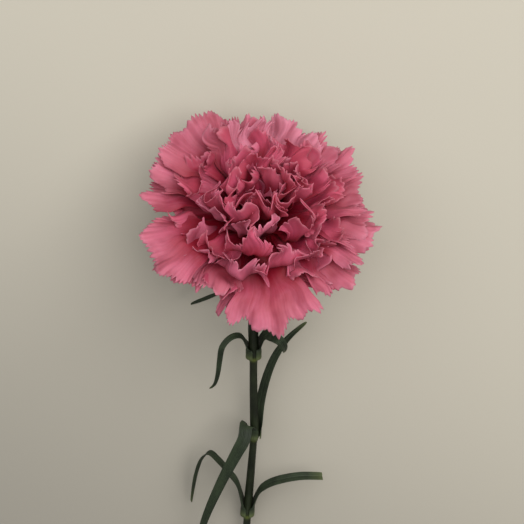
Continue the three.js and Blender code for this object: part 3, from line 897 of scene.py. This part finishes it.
@dataclass
class Bloom:
    """Double bloom: petals set one by one, a few fillers, and the bundle of claws."""

    ring: tuple[tuple[float, ...], ...] = (
        # turn reach rise tip limb fan cup roll ruffle
        (130, 38, 21.5, 28, 29, 40, 0.006, -8, 1.6, 0, 0, 0.5),
        (95, 24, 27.5, 50, 24, 26, 0.030, 0, 1.0),
        (70, 32, 21.2, 32, 27, 37, 0.006, 6, 1.6, 0, 0, 0.5),
        (53, 33.7, 17.5, 26, 27, 36, 0.008, 4, 1.8),
        (40, 38.3, 13, 18, 27, 36, 0.010, -6, 1.8),
        (21, 36, 10, 12, 27, 42, 0.008, 0, 1.6),
        (3, 36.3, 6, 2, 28, 40, 0.006, 4, 1.8),
        (-12, 38.5, 4, -2, 28, 36, 0.004, 8, 2.0),
        (-29, 36.5, -3, -14, 28, 36, 0.004, 12, 2.0),
        (-50, 29.3, -4.4, -24, 23, 30, 0.000, 16, 2.0),
        (-81.5, 36.5, -8.5, -58, 28, 40, -0.006, 0, 1.1, 0, 1.5, 1.1),
        (-127, 31, 1, 10, 22, 40, 0.040, -10, 2.0),
        (205, 39, 5, -6, 28, 37, -0.004, -10, 1.2, 0, 0, 0.3),
        (157, 39, 10, 8, 29, 31, 0.004, -6, 1.2, 0, 0, 0.6),
        (144, 37.5, 15.5, 18, 28, 40, 0.006, -6, 1.6),
    )
    rest: tuple[tuple[float, ...], ...] = (
        (75, 42.5, -2.6, 58, 28, 38, 0, 4, 0.8),
        (105, 42.6, -2.8, 58, 28, 38, 0, -4, 0.8),
        (90, 41, -3, 60, 28, 40, 0, 0, 0.8),
    )
    inner: tuple[tuple[float, ...], ...] = (
        (125, 22, 22.5, 62, 22, 34, 0.020, 16, 2.6),
        (100, 20, 26, 66, 22, 36, 0.020, -6, 2.4),
        (60, 21, 25, 60, 22, 38, 0.020, 0, 2.4),
        (35, 24, 22, 54, 22, 38, 0.010, 0, 2.4),
        (-11, 23, 18, 60, 22, 36, 0.030, -6, 2.6),
        (-39, 18.2, 20, 104, 19, 30, 0.050, 4, 1.8, 0.3),
        (-45, 25, 11, 74, 20, 32, 0.040, 8, 2.6),
        (-67, 20.5, 12.5, 110, 21, 34, 0.020, 8, 1.8, 0.45),
        (-102, 22.5, 12, 112, 21, 34, 0.020, -6, 1.6, 0.45),
        (-99, 19.5, 20, 116, 19, 32, 0.070, 0, 1.4, 0.35),
        (-124, 29.6, 1, 40, 20, 30, 0.070, -10, 2.6),
        (-143, 25, 10, 60, 20, 30, 0.050, -20, 2.6),
        (180, 28.5, 8.5, 40, 22, 30, 0.030, 6, 2.4),
        (155, 19.6, 18.5, 70, 20, 34, -0.070, 0, 0.8),
    )
    heart: tuple[tuple[float, ...], ...] = (
        (92, 7.4, 27, 100, 17, 34, 0.080, 0, 1.6),
        (136, 10.6, 25.5, 84, 18, 34, 0.030, 20, 2.6),
        (81, 15.7, 25, 76, 20, 36, 0.030, -6, 2.2),
        (24, 12.8, 26, 92, 18, 38, 0.070, 10, 2.0),
        (-28, 11.3, 25, 98, 17, 36, 0.050, 0, 2.2),
        (-75, 9.5, 25, 96, 16, 26, 0.050, -36, 2.0),
        (-126, 11.5, 24, 104, 20, 38, 0.040, 0, 2.2, 0.25),
        (178, 8, 25, 92, 16, 30, 0.050, -20, 2.2),
    )
    fill_ring: tuple[tuple[float, ...], ...] = (
        (108, 27, 26, 44, 26, 34, 0.010, 6, 1.8),
    )
    fill_inner: tuple[tuple[float, ...], ...] = (
        (12, 27, 18, 44, 22, 36, 0.015, -6, 2.4),
        (-28, 27, 11, 60, 21, 34, 0.020, -6, 2.8),
        (-50, 28, 4, 40, 22, 34, 0.020, 10, 2.4),
        (-131, 22, 12, 84, 19, 30, 0.040, 0, 2.6),
        (196, 15.6, 18, 86, 19, 34, 0.030, -6, 2.4),
        (150, 27, 19, 46, 23, 34, 0.015, -14, 2.6),
    )
    fill_heart: tuple[tuple[float, ...], ...] = (
        (115, 5, 24, 84, 16, 34, 0.060, 10, 2.4),
        (205, 6, 22, 88, 16, 34, 0.060, 20, 2.4),
        (-50, 5, 22, 88, 16, 34, 0.060, -10, 2.4),
        (45, 5, 25, 90, 16, 34, 0.060, 0, 2.4),
        (-90, 13, 19, 100, 17, 34, 0.060, 10, 2.2, 0.2),
        (-160, 14, 21, 96, 18, 34, 0.050, 10, 2.4, 0.2),
        (59, 11.7, 27.5, 84, 16, 16, 0.100, 0, 0.6),
        (8, 8.4, 27, 100, 16, 30, 0.090, -10, 1.8),
        (6, 14.1, 24, 96, 17, 34, 0.070, 10, 1.8),
    )
    fill_under: tuple[tuple[float, ...], ...] = (
        (-102, 29, -9.5, -52, 24, 30, 0.000, 0, 1.2),
    )
    # two small petals that close the middle over the bundle of claws
    fill_core: tuple[tuple[float, ...], ...] = (
        (95, 2.0, 19, 122, 14, 34, 0.080, 0, 1.8),
        (-80, 2.6, 17.5, 118, 14, 34, 0.080, 0, 1.8),
    )
    skirt_turns: tuple[float, ...] = (14, 46, 136, 203)
    seed: int = 11
    thickness: float = 0.28
    # above this height the petals are pressed down softly, by at most give
    level: float = 59.2
    give: float = 3.0

    def petals(self) -> Iterator[Petal]:
        """Every petal, with its own seeded waves."""
        following = draws(self.seed)

        def phases() -> tuple[float, float, float]:
            """Where a petal's waves and teeth start."""
            return tuple(2 * math.pi * following() for _ in range(3))

        for layer, rows in (
            (Layer.RING, self.ring), (Layer.REST, self.rest),
            (Layer.INNER, self.inner), (Layer.HEART, self.heart),
        ):
            for row in rows:
                yield Petal(layer, *row, phases=phases())
        for middle in self.skirt_turns:
            aside, longer, lower, twist = (following() for _ in range(4))
            yield Petal(
                Layer.REST, turn=middle + 8 * (aside - 0.5), reach=35.5 + 2 * longer,
                rise=2 - 3 * lower, tip=-6 - 8 * lower, limb=27, fan=42, cup=0,
                roll=20 * (twist - 0.5), ruffle=1.6, phases=phases(), root=5.2,
            )
        for layer, rows in (
            (Layer.RING, self.fill_ring), (Layer.INNER, self.fill_inner),
            (Layer.HEART, self.fill_heart), (Layer.RING, self.fill_under),
            (Layer.HEART, self.fill_core),
        ):
            for row in rows:
                yield Petal(layer, *row, phases=phases())

    @staticmethod
    def settle(grids: Sequence[Grid], reachable: float = 2.6, clearance: float = 0.45) -> list[Grid]:
        """Lays each petal on the ones below it instead of through them.

        Args:
            grids: Petals from the lowest to the topmost.
            reachable: How far a petal may be moved at once, in millimetres.
            clearance: Distance kept between middle surfaces.

        Returns:
            The petals, moved.
        """
        points: list[np.ndarray] = []
        faces: list[tuple[int, ...]] = []
        done = []
        for grid in grids:
            rows, columns = grid.shape[:2]
            pick_r = np.unique(np.linspace(0, rows - 1, 16).round().astype(int))
            pick_c = np.unique(np.linspace(0, columns - 1, 33).round().astype(int))
            moved = grid.copy()
            if faces:
                tree = BVHTree.FromPolygons(np.concatenate(points).tolist(), faces)
                for _ in range(2):
                    coarse = moved[np.ix_(pick_r, pick_c)]
                    normal = grid_normals(coarse)
                    towards = MOUTH + 40 * AXIS - coarse
                    sign = np.sign((normal * towards).sum(-1).mean()) or 1.0
                    normal = normal * sign
                    push = np.zeros(coarse.shape[:2])
                    for i in range(3, len(pick_r)):
                        for j in range(len(pick_c)):
                            at, way = Vector(coarse[i, j]), Vector(normal[i, j])
                            hit = tree.ray_cast(at - 0.05 * way, way, reachable)
                            if hit[0] is not None:
                                push[i, j] = hit[3] + clearance
                                continue
                            hit = tree.ray_cast(at + 0.05 * way, -way, clearance)
                            if hit[0] is not None:
                                push[i, j] = clearance - hit[3]
                    for _ in range(2):
                        padded = np.pad(push, 1, mode="edge")
                        push = sum(
                            padded[a:a + push.shape[0], b:b + push.shape[1]]
                            for a in range(3) for b in range(3)
                        ) / 9
                    rise = np.clip((pick_r - 3) / 7, 0, 1)[:, None] * push
                    by_row = np.stack([np.interp(np.arange(columns), pick_c, r) for r in rise])
                    full = np.stack(
                        [np.interp(np.arange(rows), pick_r, by_row[:, k]) for k in range(columns)], 1
                    )
                    moved = moved + full[..., None] * grid_normals(moved) * sign
            moved[..., 2] = np.maximum(moved[..., 2], 0.16)
            coarse = moved[np.ix_(pick_r, pick_c)]
            start = sum(len(p) for p in points)
            index = np.arange(coarse.shape[0] * coarse.shape[1]).reshape(coarse.shape[:2]) + start
            quads = np.stack([index[:-1, :-1], index[:-1, 1:], index[1:, 1:], index[1:, :-1]], -1)
            faces.extend(map(tuple, quads.reshape(-1, 4).tolist()))
            points.append(coarse.reshape(-1, 3))
            done.append(moved)
        return done

    def build(
        self, guard: bpy.types.Material, inner: bpy.types.Material, claw: bpy.types.Material,
    ) -> list[bpy.types.Object]:
        """Makes the petals, two pieces for each layer, and the bundle of claws.

        Args:
            guard: Finish of the outer petals.
            inner: Finish of the petals inside them.
            claw: Finish of the bundle of claws.

        Returns:
            The pieces.
        """
        order = list(self.petals())
        rank = {Layer.REST: 0, Layer.RING: 1, Layer.INNER: 2, Layer.HEART: 3}
        order.sort(key=lambda p: (rank[p.layer], math.atan2(p.rise, p.reach)))
        surfaces = [one.surface() for one in order]
        outer = [i for i, one in enumerate(order) if rank[one.layer] < 2]
        settled = self.settle([surfaces[i][0] for i in outer])
        settled += [surfaces[i][0] for i in range(len(outer), len(order))]
        skins: dict[str, Skin] = {}
        finishes: dict[str, bpy.types.Material] = {}
        for one, grid, (_, chart, grown) in zip(order, settled, surfaces):
            above = np.maximum(grid[..., 2] - self.level, 0)
            pressed = self.give * np.tanh(above / self.give)
            grid[..., 2] = np.minimum(grid[..., 2], self.level) + pressed
            half = "low" if one.rise < 15 else "high"
            label = f"petals_{one.layer.label}_{half}"
            thin = self.thickness * (1 - 0.45 * grown**4)
            skins.setdefault(label, Skin()).blade(grid, thin, chart, grown)
            finishes[label] = guard if rank[one.layer] < 2 else inner
        made = []
        for label, skin in skins.items():
            made.append(dress(skin.piece(label, finishes[label]), "petal", "bloom"))
        made.append(dress(self.claws(claw), "petal", "bloom"))
        return made

    def claws(self, finish: bpy.types.Material) -> bpy.types.Object:
        """The bundle of petal claws that fills the calyx."""
        profile = smooth_line(
            [[0.05, -25.2], [2.3, -25], [4.5, -20], [5.3, -10], [5.5, 0.6], [6.2, 4],
             [5.8, 7.5], [4.6, 10], [2.5, 11.5], [0.05, 12]], 4)
        angle = np.linspace(0, 2 * np.pi, 96, endpoint=False)
        ridge = 1 - 0.05 * np.abs(np.sin(14 * angle + 0.4 * np.sin(3 * angle)))
        radius = profile[:, :1] * ridge[None]
        rings = around_axis(radius, angle[None], profile[:, 1:])
        chart = np.stack(np.broadcast_arrays(angle[None] * 5, profile[:, 1:], 0.0 * radius), -1)
        grown = np.clip((profile[:, 1:] + 4) / 14, 0, 1) * np.ones_like(radius)
        skin = Skin()
        skin.tube(rings, chart, grown)
        return skin.piece("petal_claws", finish)


# -------------------------------------------------------------------- calyx


@dataclass
class Calyx:
    """Tube of five joined sepals with pointed teeth, and the bracts at its foot."""

    teeth: int = 5
    tooth: float = 4.5
    wall: float = 0.75

    def tube(self, finish: bpy.types.Material) -> bpy.types.Object:
        """The hollow tube."""
        outside = smooth_line(
            [[3.0, -27.0], [4.5, -25.6], [5.9, -20.5], [6.5, -12], [CALYX_RADIUS, -5.3]], 5)
        angle = np.linspace(0, 2 * np.pi, 120, endpoint=False)[None]
        phase = (angle / (2 * np.pi) * self.teeth) % 1
        rim = -0.6 - self.tooth * np.abs(2 * phase - 1)**0.8
        seam = 1 + 0.012 * np.cos(angle * self.teeth) + 0.006 * np.cos(angle * 35)
        steps = np.linspace(0, 1, 6)[:, None]
        rise_out = -5.3 + (rim + 5.3) * steps[1:]
        up_radius = np.concatenate([outside[:, :1] * seam, (CALYX_RADIUS + 0.05 * steps[1:]) * seam])
        up_height = np.concatenate([outside[:, 1:] + 0 * angle, rise_out])
        inside = outside[5:]
        down_radius = np.concatenate([
            (CALYX_RADIUS + 0.05 - self.wall) * seam + 0 * steps[::-1][:-1],
            (inside[::-1, :1] - self.wall) * seam,
        ])
        down_height = np.concatenate([
            -5.3 + (rim + 5.3) * steps[::-1][:-1], inside[::-1, 1:] + 0 * angle])
        radius = np.concatenate([up_radius, down_radius])
        height = np.concatenate([up_height, down_height])
        rings = around_axis(radius, angle, height)
        chart = np.stack([angle * 6 + 0 * height, height, 0 * height], -1)
        dry = np.clip((height - rim + 1.2) / 1.2, 0, 1) * (height > -6)
        skin = Skin()
        skin.tube(rings, chart, 0.8 * dry)
        return skin.piece("calyx_tube", finish)

    @staticmethod
    def bract(turn: float, tall: float, half: float) -> Skin:
        """One scale hugging the foot of the calyx.

        Args:
            turn: Where it stands round the axis, in degrees.
            tall: Its length.
            half: Half its width.

        Returns:
            The scale's surface.
        """
        q, t = np.meshgrid(np.linspace(0, 1, 18), np.linspace(-1, 1, 13), indexing="ij")
        height = -CALYX_LENGTH + 0.6 + tall * q
        radius = 4.0 + 2.5 * np.clip(q * tall / 8, 0, 1)**0.6 + 0.9
        width = half * (0.35 + 1.6 * q * (1 - q) + 0.3 * (1 - q)) * (1 - 0.8 * q**6)
        grid = around_axis(radius, math.radians(turn) + t * width / radius, height - 0.4 * t * t)
        chart = np.stack([t * width, height, np.full_like(t, turn)], -1)
        skin = Skin()
        skin.blade(grid, 0.5 * (1 - 0.5 * np.abs(t)**3), chart, 0.5 * q**3)
        return skin

    def build(self, finish: bpy.types.Material) -> list[bpy.types.Object]:
        """Makes the tube and its bracts.

        Args:
            finish: Finish of both.

        Returns:
            The pieces.
        """
        made = [dress(self.tube(finish), "calyx", "calyx")]
        for n, turn in enumerate((45, 135, 225, 315)):
            skin = self.bract(turn, 8.5 if n % 2 else 10, 3.6)
            made.append(dress(skin.piece(f"bract_scale_{n + 1}", finish), "calyx", f"bract_{n + 1}"))
        return made


# --------------------------------------------------------- stem and foliage


@dataclass
class Stem:
    """Round stem, flared under the calyx, swollen and ringed at its nodes."""

    stations: tuple[tuple[float, ...], ...] = (
        # x y z radius
        (-0.6, -28.5, 18.2, 1.9), (-1.2, -34, 16.8, 1.9), (-1.8, -43.6, 14.9, 1.9),
        (-1.7, -52.8, 13.4, 1.7), (-1.8, -58.8, 12.5, 1.4), (-1.8, -69.8, 11.1, 1.45),
        (-1.6, -82.8, 9.5, 1.6), (-1.5, -87.6, 9.0, 1.6), (-1.9, -92.5, 8.5, 1.35),
        (-3.2, -109.6, 6.8, 1.55), (-4.2, -122.3, 5.8, 1.6), (-4.5, -128.5, 5.4, 1.4),
        (-5.8, -152, 4.2, 1.6), (-6.0, -157, 4.0, 1.6), (-6.2, -163, 3.7, 1.4),
        (-6.8, -185, 3.35, 1.5), (-6.9, -190, 3.1, 1.5), (-6.9, -196, 2.6, 1.45),
        (-6.7, -206, 1.55, 1.55),
    )
    nodes: tuple[float, ...] = (-34.5, -54, -88.6, -123.4, -157.4, -190.4)
    sides: int = 36
    # how far the stem reaches into the calyx's foot
    seat: float = 0.3

    def __post_init__(self) -> None:
        """Runs the centre line from inside the calyx's foot to the cut."""
        top = around_axis(np.array(0.0), np.array(0.0), np.array(-CALYX_LENGTH + self.seat))
        neck = around_axis(np.array(0.0), np.array(0.0), np.array(-CALYX_LENGTH - 2.2))
        given = [[*top, 2.6], [*neck, 2.1], *map(list, self.stations)]
        self.line = even_line(smooth_line(given, 12), 260)

    def at(self, y: float) -> tuple[np.ndarray, np.ndarray, float]:
        """Where the stem passes a given y.

        Args:
            y: The place along the part.

        Returns:
            The centre, the direction towards the bloom, and the radius.
        """
        back = self.line[::-1]
        spot = np.array([np.interp(y, back[:, 1], back[:, k]) for k in range(4)])
        near = np.array([np.interp(y + 0.8, back[:, 1], back[:, k]) for k in range(3)])
        return spot[:3], unit(near - spot[:3]), float(spot[3])

    def build(self, finish: bpy.types.Material) -> bpy.types.Object:
        """Makes the stem.

        Args:
            finish: Its finish.

        Returns:
            The piece.
        """
        centre, radius = self.line[:, :3], self.line[:, 3]
        along, ups = carry(centre, np.array([0.0, 0.0, 1.0]))
        over = np.cross(ups, along)
        angle = np.linspace(0, 2 * np.pi, self.sides, endpoint=False)[None]
        ring, swell = np.zeros_like(radius), radius.copy()
        for node in self.nodes:
            ring = ring + np.exp(-((centre[:, 1] - node + 1.9) / 0.8)**2)
            swell = swell + 0.6 * np.exp(-((centre[:, 1] - node + 0.6) / 1.5)**2)
        wide = swell[:, None] * (1 + 0.012 * np.cos(7 * angle))
        points = (
            centre[:, None]
            + wide[..., None] * np.cos(angle)[..., None] * over[:, None]
            + wide[..., None] * np.sin(angle)[..., None] * ups[:, None]
        )
        points[..., 2] = np.maximum(points[..., 2], 0.0)
        place = np.broadcast_arrays(angle * 1.5, centre[:, 1:2], 0 * wide)
        band = np.clip(ring, 0, 1)[:, None] * np.ones_like(angle)
        band[-1] = 0.6
        skin = Skin()
        skin.tube(points, np.stack(place, -1), 0.75 * band)
        return dress(skin.piece("stem_skin", finish), "stem", "stem")


@dataclass
class Leaf:
    """Narrow leaf: half a sheath round the stem, then a troughed, veined blade."""

    name: str
    node: float
    side: float
    width: float
    twist: float
    blade: tuple[tuple[float, float, float], ...]
    slim: float = 0.45
    tip: float = 0.1
    pale_tip: float = 0.35

    def surface(self, stem: Stem) -> tuple[Grid, Grid, Grid, Grid]:
        """Middle surface of the leaf.

        Args:
            stem: The stem it clasps.

        Returns:
            Points, thickness, place on the leaf and a paler tip's value.
        """
        levels = [stem.at(self.node + rise) for rise in (-1.6, 1.36, 3.4)]
        reach = max(radius for _, _, radius in levels) + 0.87
        angle = math.radians(self.side)
        clasp, first = [], None
        for point, along, _ in levels:
            upward = unit(np.array([0.0, 0.0, 1.0]) - along * along[2])
            away = math.cos(angle) * np.cross(along, upward) + math.sin(angle) * upward
            first = away if first is None else first
            clasp.append(point + reach * away)
        control = [*clasp, *map(np.array, self.blade)]
        line = smooth_line(control, 10)
        share = np.linspace(0, len(control) - 1, len(line))
        spread = even_line(np.column_stack([line, share]), 64)
        line, share = spread[:, :3], spread[:, 3:]
        along, ups = carry(line, -first)
        steps = 2 * share
        q = share / (len(control) - 1)
        free = np.clip((steps - 2) / 4, 0, 1)
        free = free * free * (3 - 2 * free)
        taper = self.tip + (1 - self.tip) * np.sqrt(np.clip((1 - q) / self.slim, 0, 1))
        half = (1 - free) * reach * math.radians(75) + free * self.width * taper
        bend = (1 - free) / reach + free * 0.16
        turned = math.radians(self.twist) * np.clip((steps - 5) / (2 * len(control) - 8), 0, 1)
        side = np.cross(along, ups)
        up = np.cos(turned) * ups - np.sin(turned) * side
        over = np.cross(along, up)
        t = np.linspace(-1, 1, 15)[None]
        reach_over = (np.sin(bend * half * t) / bend)[..., None] * over[:, None]
        reach_up = ((1 - np.cos(bend * half * t)) / bend)[..., None] * up[:, None]
        rib = (-0.18 * np.exp(-(t * half / 0.35)**2) * free)[..., None] * up[:, None]
        grid = line[:, None] + reach_over + reach_up + rib
        thick = 0.55 * (1 - 0.6 * np.abs(t)**4) * (1 - 0.4 * q)
        chart = np.stack([t * half, q * 60 + 0 * t, np.full_like(t * half, self.node)], -1)
        base = np.exp(-(steps / 1.2)**2) * 0.6
        pale = np.clip(base + self.pale_tip * np.clip((q - 0.9) / 0.1, 0, 1), 0, 1) + 0 * t
        return grid, thick, chart, pale

    def build(self, stem: Stem, finish: bpy.types.Material) -> bpy.types.Object:
        """Makes the leaf.

        Args:
            stem: The stem it clasps.
            finish: Its finish.

        Returns:
            The piece.
        """
        grid, thick, chart, pale = self.surface(stem)
        skin = Skin()
        skin.blade(grid, thick, chart, pale)
        return dress(skin.piece(f"{self.name}_blade", finish), "leaf", self.name)


@dataclass
class Foliage:
    """All leaves, in pairs from the bloom down to the cut."""

    leaves: tuple[Leaf, ...] = (
        Leaf("leaf_top_left", -34.5, 180, 1.9, -40,
             ((-8, -29.6, 16.5), (-13.9, -30.6, 14.4), (-19, -33.4, 12), (-24.2, -36.5, 9.2)),
             pale_tip=0.1),
        Leaf("leaf_top_right", -34.5, 0, 1.6, 50,
             ((6, -31, 16.5), (11, -31.5, 14.6), (15.5, -33.8, 12.4), (18, -37, 10.6))),
        Leaf("leaf_a_left", -54, 172, 1.1, 0,
             ((-6.2, -44.4, 20), (-9.6, -43, 24.6), (-12.6, -46, 26), (-13.6, -51.6, 25),
              (-14.4, -58, 22.4), (-15.6, -63.2, 19.6), (-17.6, -66, 18))),
        Leaf("leaf_a_right", -54, -8, 2.1, 40,
             ((2.6, -44.2, 19), (4.8, -42.6, 24), (7.6, -43.4, 26.6), (9.2, -46.6, 25),
              (9.4, -50, 21.6))),
        Leaf("leaf_b_left", -88.6, 130, 2.6, 0,
             ((-4.6, -82.4, 14.8), (-5.4, -86.2, 18), (-8.6, -92.6, 18.8), (-14.1, -105, 17.4),
              (-20, -121.6, 13.4), (-24.6, -139, 10))),
        Leaf("leaf_b_right", -88.6, -50, 2.3, 0,
             ((0.9, -76, 8.2), (2.7, -67, 9), (5.2, -59, 9.8), (8.1, -53.2, 10.2),
              (11.6, -48.6, 10), (17.4, -43.4, 9.4)), slim=0.8),
        Leaf("leaf_c_left", -123.4, 180, 2.4, -10,
             ((-8.2, -109.6, 9.6), (-11.6, -103.6, 11), (-15.4, -98.6, 11.2), (-18.6, -96, 10.6),
              (-21.2, -99, 9.6), (-23.2, -105, 8.4), (-24.6, -112, 6.6), (-25.8, -120, 4.6))),
        Leaf("leaf_c_right", -123.4, 0, 2.1, 0,
             ((0.4, -113.2, 8.8), (3.6, -109, 11), (8.6, -106.2, 12.4), (16, -104.8, 12.4),
              (24, -105.4, 11.4)), tip=0.85),
        Leaf("leaf_d_left", -157.4, 170, 1.9, -50,
             ((-12.5, -148, 6.4), (-22, -142.4, 6.6), (-34, -141.4, 5.2), (-47, -146, 2.4))),
        Leaf("leaf_d_right", -157.4, -10, 1.9, 50,
             ((0.6, -147.6, 7.4), (10, -140.6, 9.2), (24, -138.6, 8), (38, -143.6, 4.4))),
        Leaf("leaf_e_left", -190.4, 170, 1.9, -50,
             ((-13.5, -181, 5.6), (-24, -174, 7.6), (-38, -171.6, 6.8), (-52, -176.6, 3.6))),
        Leaf("leaf_e_right", -190.4, -10, 1.9, 50,
             ((-0.6, -180.6, 6.4), (9, -172.4, 8.8), (24, -169, 8), (40, -173.6, 4.6))),
    )

    def build(self, stem: Stem, finish: bpy.types.Material) -> list[bpy.types.Object]:
        """Makes every leaf.

        Args:
            stem: The stem they clasp.
            finish: Their finish.

        Returns:
            The pieces.
        """
        return [leaf.build(stem, finish) for leaf in self.leaves]


# ------------------------------------------------------------------- studio


@dataclass
class Studio:
    """Plain pale table, soft light from beyond the bloom, and the camera over it."""

    lean: float = math.radians(20)
    distance: float = 450.0
    width: float = 174.7
    aim: tuple[float, float] = (1.33, -10.7)

    def table(self) -> bpy.types.Object:
        """The table top."""
        mesh = bpy.data.meshes.new("table_top")
        corners = [(-3.0, -3.0, 0.0), (3.0, -3.0, 0.0), (3.0, 3.0, 0.0), (-3.0, 3.0, 0.0)]
        mesh.from_pydata(corners, [], [(0, 1, 2, 3)])
        mesh.materials.append(TableFinish().build())
        made = bpy.data.objects.new("table_top", mesh)
        bpy.context.scene.collection.objects.link(made)
        return made

    def camera(self) -> bpy.types.Object:
        """The camera, looking down on the flower and a little towards its foot."""
        back = np.array([0.0, math.sin(self.lean), math.cos(self.lean)])
        up = np.array([0.0, math.cos(self.lean), -math.sin(self.lean)])
        aim = MOUTH + np.array([self.aim[0], 0, 0]) + self.aim[1] * up
        place = (aim + back * self.distance - FOOTPRINT) * MM
        data = bpy.data.cameras.new("camera")
        data.sensor_width = 36.0
        data.lens = 36.0 * self.distance / self.width
        data.clip_start = 0.01
        made = bpy.data.objects.new("camera", data)
        turn = Matrix(((1, up[0], back[0]), (0, up[1], back[1]), (0, up[2], back[2])))
        made.matrix_world = Matrix.Translation(Vector(place)) @ turn.to_4x4()
        bpy.context.scene.collection.objects.link(made)
        bpy.context.scene.camera = made
        return made

    @staticmethod
    def lamp(name: str, place: tuple[float, float, float], size: float, power: float,
             colour: Colour = (1.0, 1.0, 1.0)) -> bpy.types.Object:
        """A soft square lamp that faces the bloom.

        Args:
            name: Its name.
            place: Where it hangs, in metres.
            size: Its side, in metres.
            power: Its power, in watts.
            colour: Its colour.

        Returns:
            The lamp.
        """
        data = bpy.data.lights.new(name, "AREA")
        data.size, data.energy, data.color = size, power, colour
        made = bpy.data.objects.new(name, data)
        made.location = place
        aim = Vector((0.0, 0.06, 0.03)) - Vector(place)
        made.rotation_euler = aim.to_track_quat("-Z", "Y").to_euler()
        bpy.context.scene.collection.objects.link(made)
        return made

    def build(self) -> None:
        """Sets the table, the lamps, the surrounding light and the camera."""
        self.table()
        self.camera()
        self.lamp("key_lamp", (0.30, 0.48, 0.63), 0.8, 7.8, (1.0, 0.98, 0.95))
        self.lamp("fill_lamp", (-0.5, 0.46, 0.76), 0.9, 3.3, (0.96, 0.98, 1.0))
        world = bpy.data.worlds.new("soft_surroundings")
        world.use_nodes = True
        world.node_tree.nodes["Background"].inputs["Color"].default_value = (1.0, 0.98, 0.93, 1.0)
        world.node_tree.nodes["Background"].inputs["Strength"].default_value = 0.32
        bpy.context.scene.world = world
        bpy.context.scene.view_settings.view_transform = "Standard"


def main() -> None:
    """Builds the flower from the bloom down, then the studio."""
    logging.basicConfig(level=logging.INFO, format="%(name)s: %(message)s")
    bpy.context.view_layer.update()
    effects = SharedEffects.build()
    finishes = {finish: finish.value.build(effects) for finish in Finish}
    made = Bloom().build(
        finishes[Finish.GUARD_PETAL], finishes[Finish.INNER_PETAL], finishes[Finish.CLAW])
    made += Calyx().build(finishes[Finish.CALYX])
    stem = Stem()
    made.append(stem.build(finishes[Finish.STEM]))
    made += Foliage().build(stem, finishes[Finish.LEAF])
    for piece in made:
        log.info("%s: %d faces", piece.name, len(piece.data.polygons))
    Studio().build()


if __name__ == "__main__":
    main()
